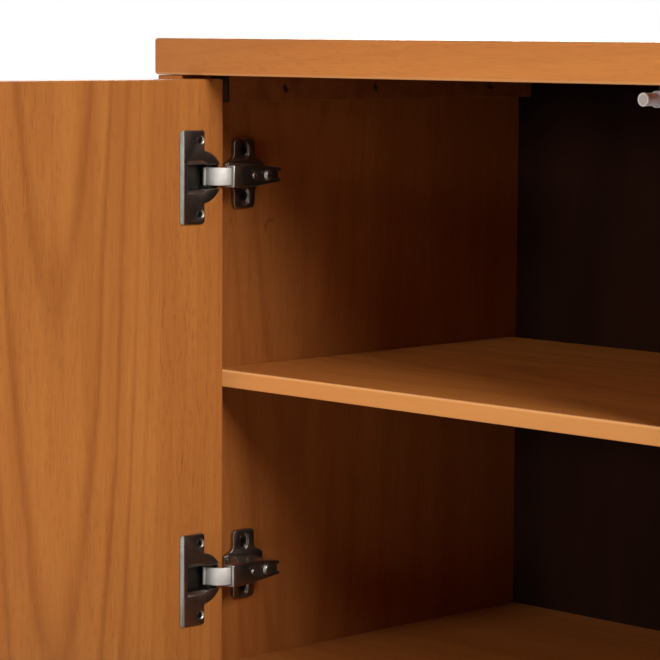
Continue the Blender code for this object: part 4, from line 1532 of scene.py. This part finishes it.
@dataclass
class Latch:
    """One push latch under the top: a housing with a sprung plunger, measured from the plunger's tip."""

    side: Side
    radius: float = 4.1 * MM
    neck_radius: float = 3.9 * MM
    cap_length: float = 1.6 * MM
    dish: float = 0.7 * MM
    body_radius: float = 5.0 * MM
    saddle_setback: float = 24.0 * MM
    setback: float = 12.0 * MM
    length: float = 50.0 * MM
    rim: float = 0.45 * MM
    rim_count: float = 2.2
    easing: float = 0.2 * MM
    rounding: float = 0.4 * MM
    sides: int = 64

    def build(self, shop: Workshop, finishes: Finishes) -> None:
        """Show the housing with rounded edges and a turned plunger.

        Args:
            shop: Where pieces are finished.
            finishes: The shared materials.
        """
        word = self.side.word
        node = f"{word}_latch_plunger"
        low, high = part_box(node)
        tip = Vector(((low.x + high.x) / 2.0, low.y, (low.z + high.z) / 2.0))
        housing = shop.swap(f"{word}_latch_housing", self.rounding, finishes.plastic, "grey_plastic")
        # The housing beside and above the tube is painted dark as shade.
        shop.part_finish(housing, finishes.saddle, lambda middle: self.on_saddle(middle - tip))
        place = Matrix.Translation(tip) @ Matrix.Rotation(QUARTER_TURN, 4, "X")
        piece = lathe(f"{word}_plunger_turned", self.profile(), place, self.sides)
        piece.data.materials.append(finishes.plastic)
        # The tip's rim and dish take darker copies of the plastic, as painted shade against the strong
        # light there.
        shop.part_finish(piece, finishes.rim, lambda middle: middle.y - tip.y < self.dish)
        shop.part_finish(piece, finishes.cap, lambda middle: self.in_dish(middle - tip))
        shop.place(piece, shop.body_of[node], "grey_plastic", node)

    def on_saddle(self, offset: Vector) -> bool:
        """Whether a face that far from the plunger's tip lies on the housing beside or above the tube,
        which is painted dark as shade.
        """
        in_front = abs(offset.y - self.saddle_setback) < self.rim
        return abs(offset.x) > self.body_radius or offset.z > (0.0 if in_front else self.body_radius)

    def in_dish(self, offset: Vector) -> bool:
        """Whether a face that far from the plunger's tip lies in the dish of its end."""
        reach = self.radius - self.rim_count * self.rim
        return offset.y < self.dish and math.hypot(offset.x, offset.z) < reach

    def profile(self) -> list[Span]:
        """Radius and height pairs of the plunger, from its tip.

        Returns:
            The profile.
        """
        radius, rim, ease = self.radius, self.rim, self.easing
        face = radius - 2.0 * rim
        neck_end = -self.setback - self.cap_length
        return [
            (0.0, ease - self.dish),
            (face - rim, 0.75 * ease - self.dish),
            (face - 0.3 * rim, -0.6 * self.dish),
            (face + 0.3 * rim, -0.5 * ease),
            (face + rim, 0.0),
            (radius - 0.3 * rim, -0.75 * ease),
            (radius, -2.5 * ease),
            (radius, ease - self.cap_length),
            (radius - ease, -self.cap_length),
            (self.neck_radius, -self.cap_length),
            (self.neck_radius, neck_end),
            (radius, neck_end - ease),
            (radius, -self.length),
            (0.0, -self.length),
        ]


@dataclass
class Leg:
    """One turned leg with its glide, and its plate under the bottom panel."""

    end: End
    side: Side
    wood: Veneer
    edge: float = 1.5 * MM
    edge_steps: int = 4
    sides: int = 96
    top_radius: float = 19.0 * MM
    foot_radius: float = 11.5 * MM
    heart_offset: Span = (-30.0 * MM, 50.0 * MM)
    heart_height: float = 120.0 * MM
    heart_depth: float = 60.0 * MM
    taper: float = 0.02
    glide: float = 3.0 * MM
    glide_inset: float = 0.8 * MM
    glide_edge: float = 1.0 * MM
    glide_sides: int = 64
    plate_rounding: float = 0.4 * MM
    screw_reach: float = 24.0 * MM
    screw_radius: float = 3.6 * MM

    @property
    def stem(self) -> str:
        """The start of the leg's node names."""
        return f"{self.end.value}_{self.side.word}_leg"

    def build(self, shop: Workshop, finishes: Finishes) -> None:
        """Turn the leg and its glide, and show the plate with rounded edges.

        Args:
            shop: Where pieces are finished.
            finishes: The shared materials.
        """
        low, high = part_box(self.stem)
        x, y = (low.x + high.x) / 2.0, (low.y + high.y) / 2.0
        place = Matrix.Translation((x, y, low.z))
        leg = lathe(f"{self.stem}_turned", self.profile(high.z - low.z), place, self.sides)
        board = Board(
            name=self.stem,
            grain=Grain.UPRIGHT_FACING,
            heart=(x + self.heart_offset[0], y + self.heart_offset[1], self.heart_height),
            seed=41.0 + self.side.value + len(self.end.value),
            heart_depth=self.heart_depth,
            taper=self.taper,
        )
        leg.data.materials.append(self.wood.material(board))
        shop.place(leg, "cabinet", "veneer", self.stem)
        glide = lathe(f"{self.stem}_glide", self.glide_profile(), place, self.glide_sides)
        glide.data.materials.append(finishes.plastic)
        shop.place(glide, "cabinet", "grey_plastic")
        shop.swap(f"{self.stem}_plate", self.plate_rounding, finishes.steel, "zinc_steel")

    def profile(self, height: float) -> list[Span]:
        """Radius and height pairs of the leg, from its foot.

        Args:
            height: Height of the leg.

        Returns:
            The profile.
        """
        angles = [QUARTER_TURN * step / self.edge_steps for step in range(self.edge_steps + 1)]
        points = [(0.0, self.glide)]
        for angle in angles:
            reach = self.foot_radius - self.edge * (1.0 - math.sin(angle))
            points.append((reach, self.glide + self.edge * (1.0 - math.cos(angle))))
        for angle in angles:
            reach = self.top_radius - self.edge * (1.0 - math.cos(angle))
            points.append((reach, height - self.edge * (1.0 - math.sin(angle))))
        return points + [(0.0, height)]

    def glide_profile(self) -> list[Span]:
        """Radius and height pairs of the glide, from the floor.

        Returns:
            The profile.
        """
        foot = self.foot_radius - self.glide_inset
        eased = foot - self.glide_edge
        return [(0.0, 0.0), (eased, 0.0), (foot, self.glide_edge), (foot, self.glide), (0.0, self.glide)]

    def plate_spots(self) -> list[Spot]:
        """Where the plate's screws sit.

        Returns:
            The spots.
        """
        low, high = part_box(f"{self.stem}_plate")
        middle = (low + high) / 2.0
        aim = Vector((0.0, 0.0, -1.0))
        ends = (-self.screw_reach, self.screw_reach)
        places = [Vector((middle.x + x, middle.y + y, low.z)) for x in ends for y in ends]
        return [Spot(place, aim, self.screw_radius) for place in places]


@dataclass
class Cabinet:
    """The whole cabinet, put together from its sub-assemblies."""

    shop: Workshop
    fixings: Fixings
    finishes: Finishes
    plan: Plan
    wood: Veneer

    def fit_carcass(self) -> None:
        """Dress the carcass and put its fixings in."""
        carcass = Carcass(self.plan, self.wood)
        carcass.dress(self.shop, self.finishes)
        carcass.fix(self.shop, self.fixings, self.finishes)

    def fit_doors(self) -> None:
        """Dress the doors, build their hinges and latches, and put the screws in."""
        plate_spots = []
        arm_spots = []
        black = self.finishes.black_screw
        for side in Side:
            door = Door(side, self.plan, self.wood)
            door.dress(self.shop, self.finishes)
            door_spots = [door.strike_spot()]
            for level in Level:
                hinge = Hinge(side, level, self.plan)
                hinge.build(self.shop, self.finishes)
                door_spots += hinge.door_spots()
                plate_spots += hinge.plate_spots()
                arm_spots += hinge.arm_spots()
            screws = self.fixings.set_out(f"{side.word}_door_screws", Head.COUNTERSUNK, door_spots, black)
            self.shop.place(screws, f"{side.word}_door_leaf", "black_nickel")
            Latch(side).build(self.shop, self.finishes)
        plates = self.fixings.set_out("hinge_plate_screws", Head.COUNTERSUNK, plate_spots, black)
        self.shop.place(plates, "cabinet", "black_nickel")
        arms = self.fixings.set_out("hinge_arm_screws", Head.PAN, arm_spots, self.finishes.dark_screw)
        self.shop.place(arms, "cabinet", "black_nickel")

    def fit_legs(self) -> None:
        """Turn the legs and put the screws in their plates."""
        spots = []
        for end in End:
            for side in Side:
                leg = Leg(end, side, self.wood)
                leg.build(self.shop, self.finishes)
                spots += leg.plate_spots()
        screws = self.fixings.set_out("leg_plate_screws", Head.PAN, spots, self.finishes.steel)
        self.shop.place(screws, "cabinet", "zinc_steel")


@dataclass(frozen=True)
class Lamp:
    """One soft round lamp. Its light passes the nodes that it names, which cast no shadow in it."""

    name: str
    place: Point
    target: Point
    size: float
    power: float
    in_gloss: bool = True
    passes: tuple[str, ...] = ()

    def build(self) -> None:
        """Hang the lamp and aim it."""
        light = bpy.data.lights.new(self.name, "AREA")
        light.shape = "DISK"
        light.size = self.size
        light.energy = self.power
        lamp = bpy.data.objects.new(self.name, light)
        bpy.context.scene.collection.objects.link(lamp)
        lamp.location = self.place
        aim = Vector(self.target) - Vector(self.place)
        lamp.rotation_euler = aim.to_track_quat("-Z", "Y").to_euler()
        lamp.visible_camera = False
        lamp.visible_glossy = self.in_gloss
        if self.passes:
            lamp.light_linking.blocker_collection = self.passed_nodes()

    def passed_nodes(self) -> bpy.types.Collection:
        """The nodes that the light passes, left out of what blocks it.

        Returns:
            Their collection.
        """
        passed = bpy.data.collections.new(f"{self.name}_passes")
        for name in self.passes:
            passed.objects.link(bpy.data.objects[name])
        for entry in passed.collection_objects:
            entry.light_linking.link_state = "EXCLUDE"
        return passed


@dataclass(frozen=True)
class Studio:
    """Camera, lamps, white surroundings and a pale floor."""

    camera_place: Point = (1.0239, -1.2553, 0.7149)
    yaw: float = math.radians(45.54)
    pitch: float = math.radians(6.02)
    roll: float = math.radians(0.31)
    focal_pixels: float = 2829.8
    clip_start: float = 10.0 * MM
    ambient: float = 0.02
    ambient_colour: Colour = (1.0, 0.98, 0.95)
    floor_radius: float = 3.2
    floor_fade: float = 1.3
    floor_drop: float = 0.5 * MM
    floor_sides: int = 96
    floor_colour: Colour = (0.86, 0.855, 0.85)
    floor_roughness: float = 0.6
    floor_gloss: float = 0.2
    lamps: tuple[Lamp, ...] = (
        Lamp("side_key", place=(2.15, -0.45, 1.70), target=(-0.40, -0.10, 0.50), size=1.0, power=66.0),
        Lamp(
            "front_key",
            place=(-0.40, -4.0, 1.20),
            target=(-0.20, 0.0, 0.55),
            size=0.8,
            power=124.0,
            in_gloss=False,
            passes=("left_door", "right_door"),
        ),
        Lamp("rear_fill", place=(-2.2, 2.6, 2.4), target=(0.0, 0.2, 0.4), size=2.0, power=150.0),
    )

    def set_camera(self) -> None:
        """Stand the camera where the photograph was taken from."""
        sin_yaw, cos_yaw = math.sin(self.yaw), math.cos(self.yaw)
        flat = math.cos(self.pitch)
        ahead = Vector((-sin_yaw * flat, cos_yaw * flat, -math.sin(self.pitch)))
        right = Vector((cos_yaw, sin_yaw, 0.0))
        up = right.cross(ahead)
        leaned_right = math.cos(self.roll) * right + math.sin(self.roll) * up
        leaned_up = math.cos(self.roll) * up - math.sin(self.roll) * right
        lens = bpy.data.cameras.new("camera")
        lens.sensor_width = SENSOR_WIDTH
        lens.lens = SENSOR_WIDTH * self.focal_pixels / PHOTO_PIXELS
        lens.clip_start = self.clip_start
        camera = bpy.data.objects.new("camera", lens)
        bpy.context.scene.collection.objects.link(camera)
        turn = Matrix((leaned_right, leaned_up, -ahead)).transposed().to_4x4()
        camera.matrix_world = Matrix.Translation(self.camera_place) @ turn
        bpy.context.scene.camera = camera

    def set_world(self) -> None:
        """Give the scene a white background and a low light from all round."""
        world = bpy.data.worlds.new("surroundings")
        world.use_nodes = True
        world.node_tree.nodes.clear()
        kit = NodeKit(world.node_tree)
        path = kit.make("ShaderNodeLightPath").outputs
        seen = Signal(kit, path["Is Camera Ray"])
        for kind in ("Is Glossy Ray", "Is Transmission Ray"):
            seen = kit.maths("MAXIMUM", seen, Signal(kit, path[kind]))
        low = {"Color": self.ambient_colour, "Strength": self.ambient}
        dim = kit.make("ShaderNodeBackground", inputs=low)
        white = kit.make("ShaderNodeBackground", inputs={"Color": (1.0, 1.0, 1.0), "Strength": 1.0})
        kit.make("ShaderNodeOutputWorld", inputs={"Surface": kit.mix_shaders(seen, dim, white)})
        bpy.context.scene.world = world

    def lay_floor(self) -> None:
        """Lay a round pale floor that keeps the shadow and fades to white at its rim."""
        bm = bmesh.new()
        bmesh.ops.create_circle(bm, cap_ends=True, radius=self.floor_radius, segments=self.floor_sides)
        mesh = bpy.data.meshes.new("floor")
        bm.to_mesh(mesh)
        bm.free()
        floor = link_object("floor", mesh)
        floor.location.z = -self.floor_drop
        surface = Surface("pale_floor")
        x, y = surface.axes["X"], surface.axes["Y"]
        fade = (x * x + y * y).root().rise(self.floor_radius - self.floor_fade, self.floor_radius)
        surface.set({"Base Color": self.floor_colour, "Roughness": self.floor_roughness})
        surface.set({"Specular IOR Level": self.floor_gloss})
        open_air = surface.kit.make("ShaderNodeBsdfTransparent")
        both = surface.kit.mix_shaders(fade, surface.shader, open_air)
        surface.kit.feed(surface.output.inputs["Surface"], both)
        mesh.materials.append(surface.material)

    def build(self) -> None:
        """Set up the whole studio."""
        self.set_camera()
        self.set_world()
        for lamp in self.lamps:
            lamp.build()
        self.lay_floor()
        bpy.context.scene.view_settings.view_transform = "Standard"


def clear_scene() -> None:
    """Remove the objects that the file starts with."""
    for item in list(bpy.data.objects):
        bpy.data.objects.remove(item, do_unlink=True)


def main() -> None:
    """Build the cabinet's looks piece by piece."""
    logging.basicConfig(level=logging.INFO, format="%(message)s")
    clear_scene()
    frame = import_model()
    plan = Plan.measured()
    Studio().build()
    cabinet = Cabinet(Workshop(frame), Fixings(), Finishes.made(plan), plan, Veneer())
    cabinet.fit_carcass()
    cabinet.fit_doors()
    cabinet.fit_legs()


if __name__ == "__main__":
    main()
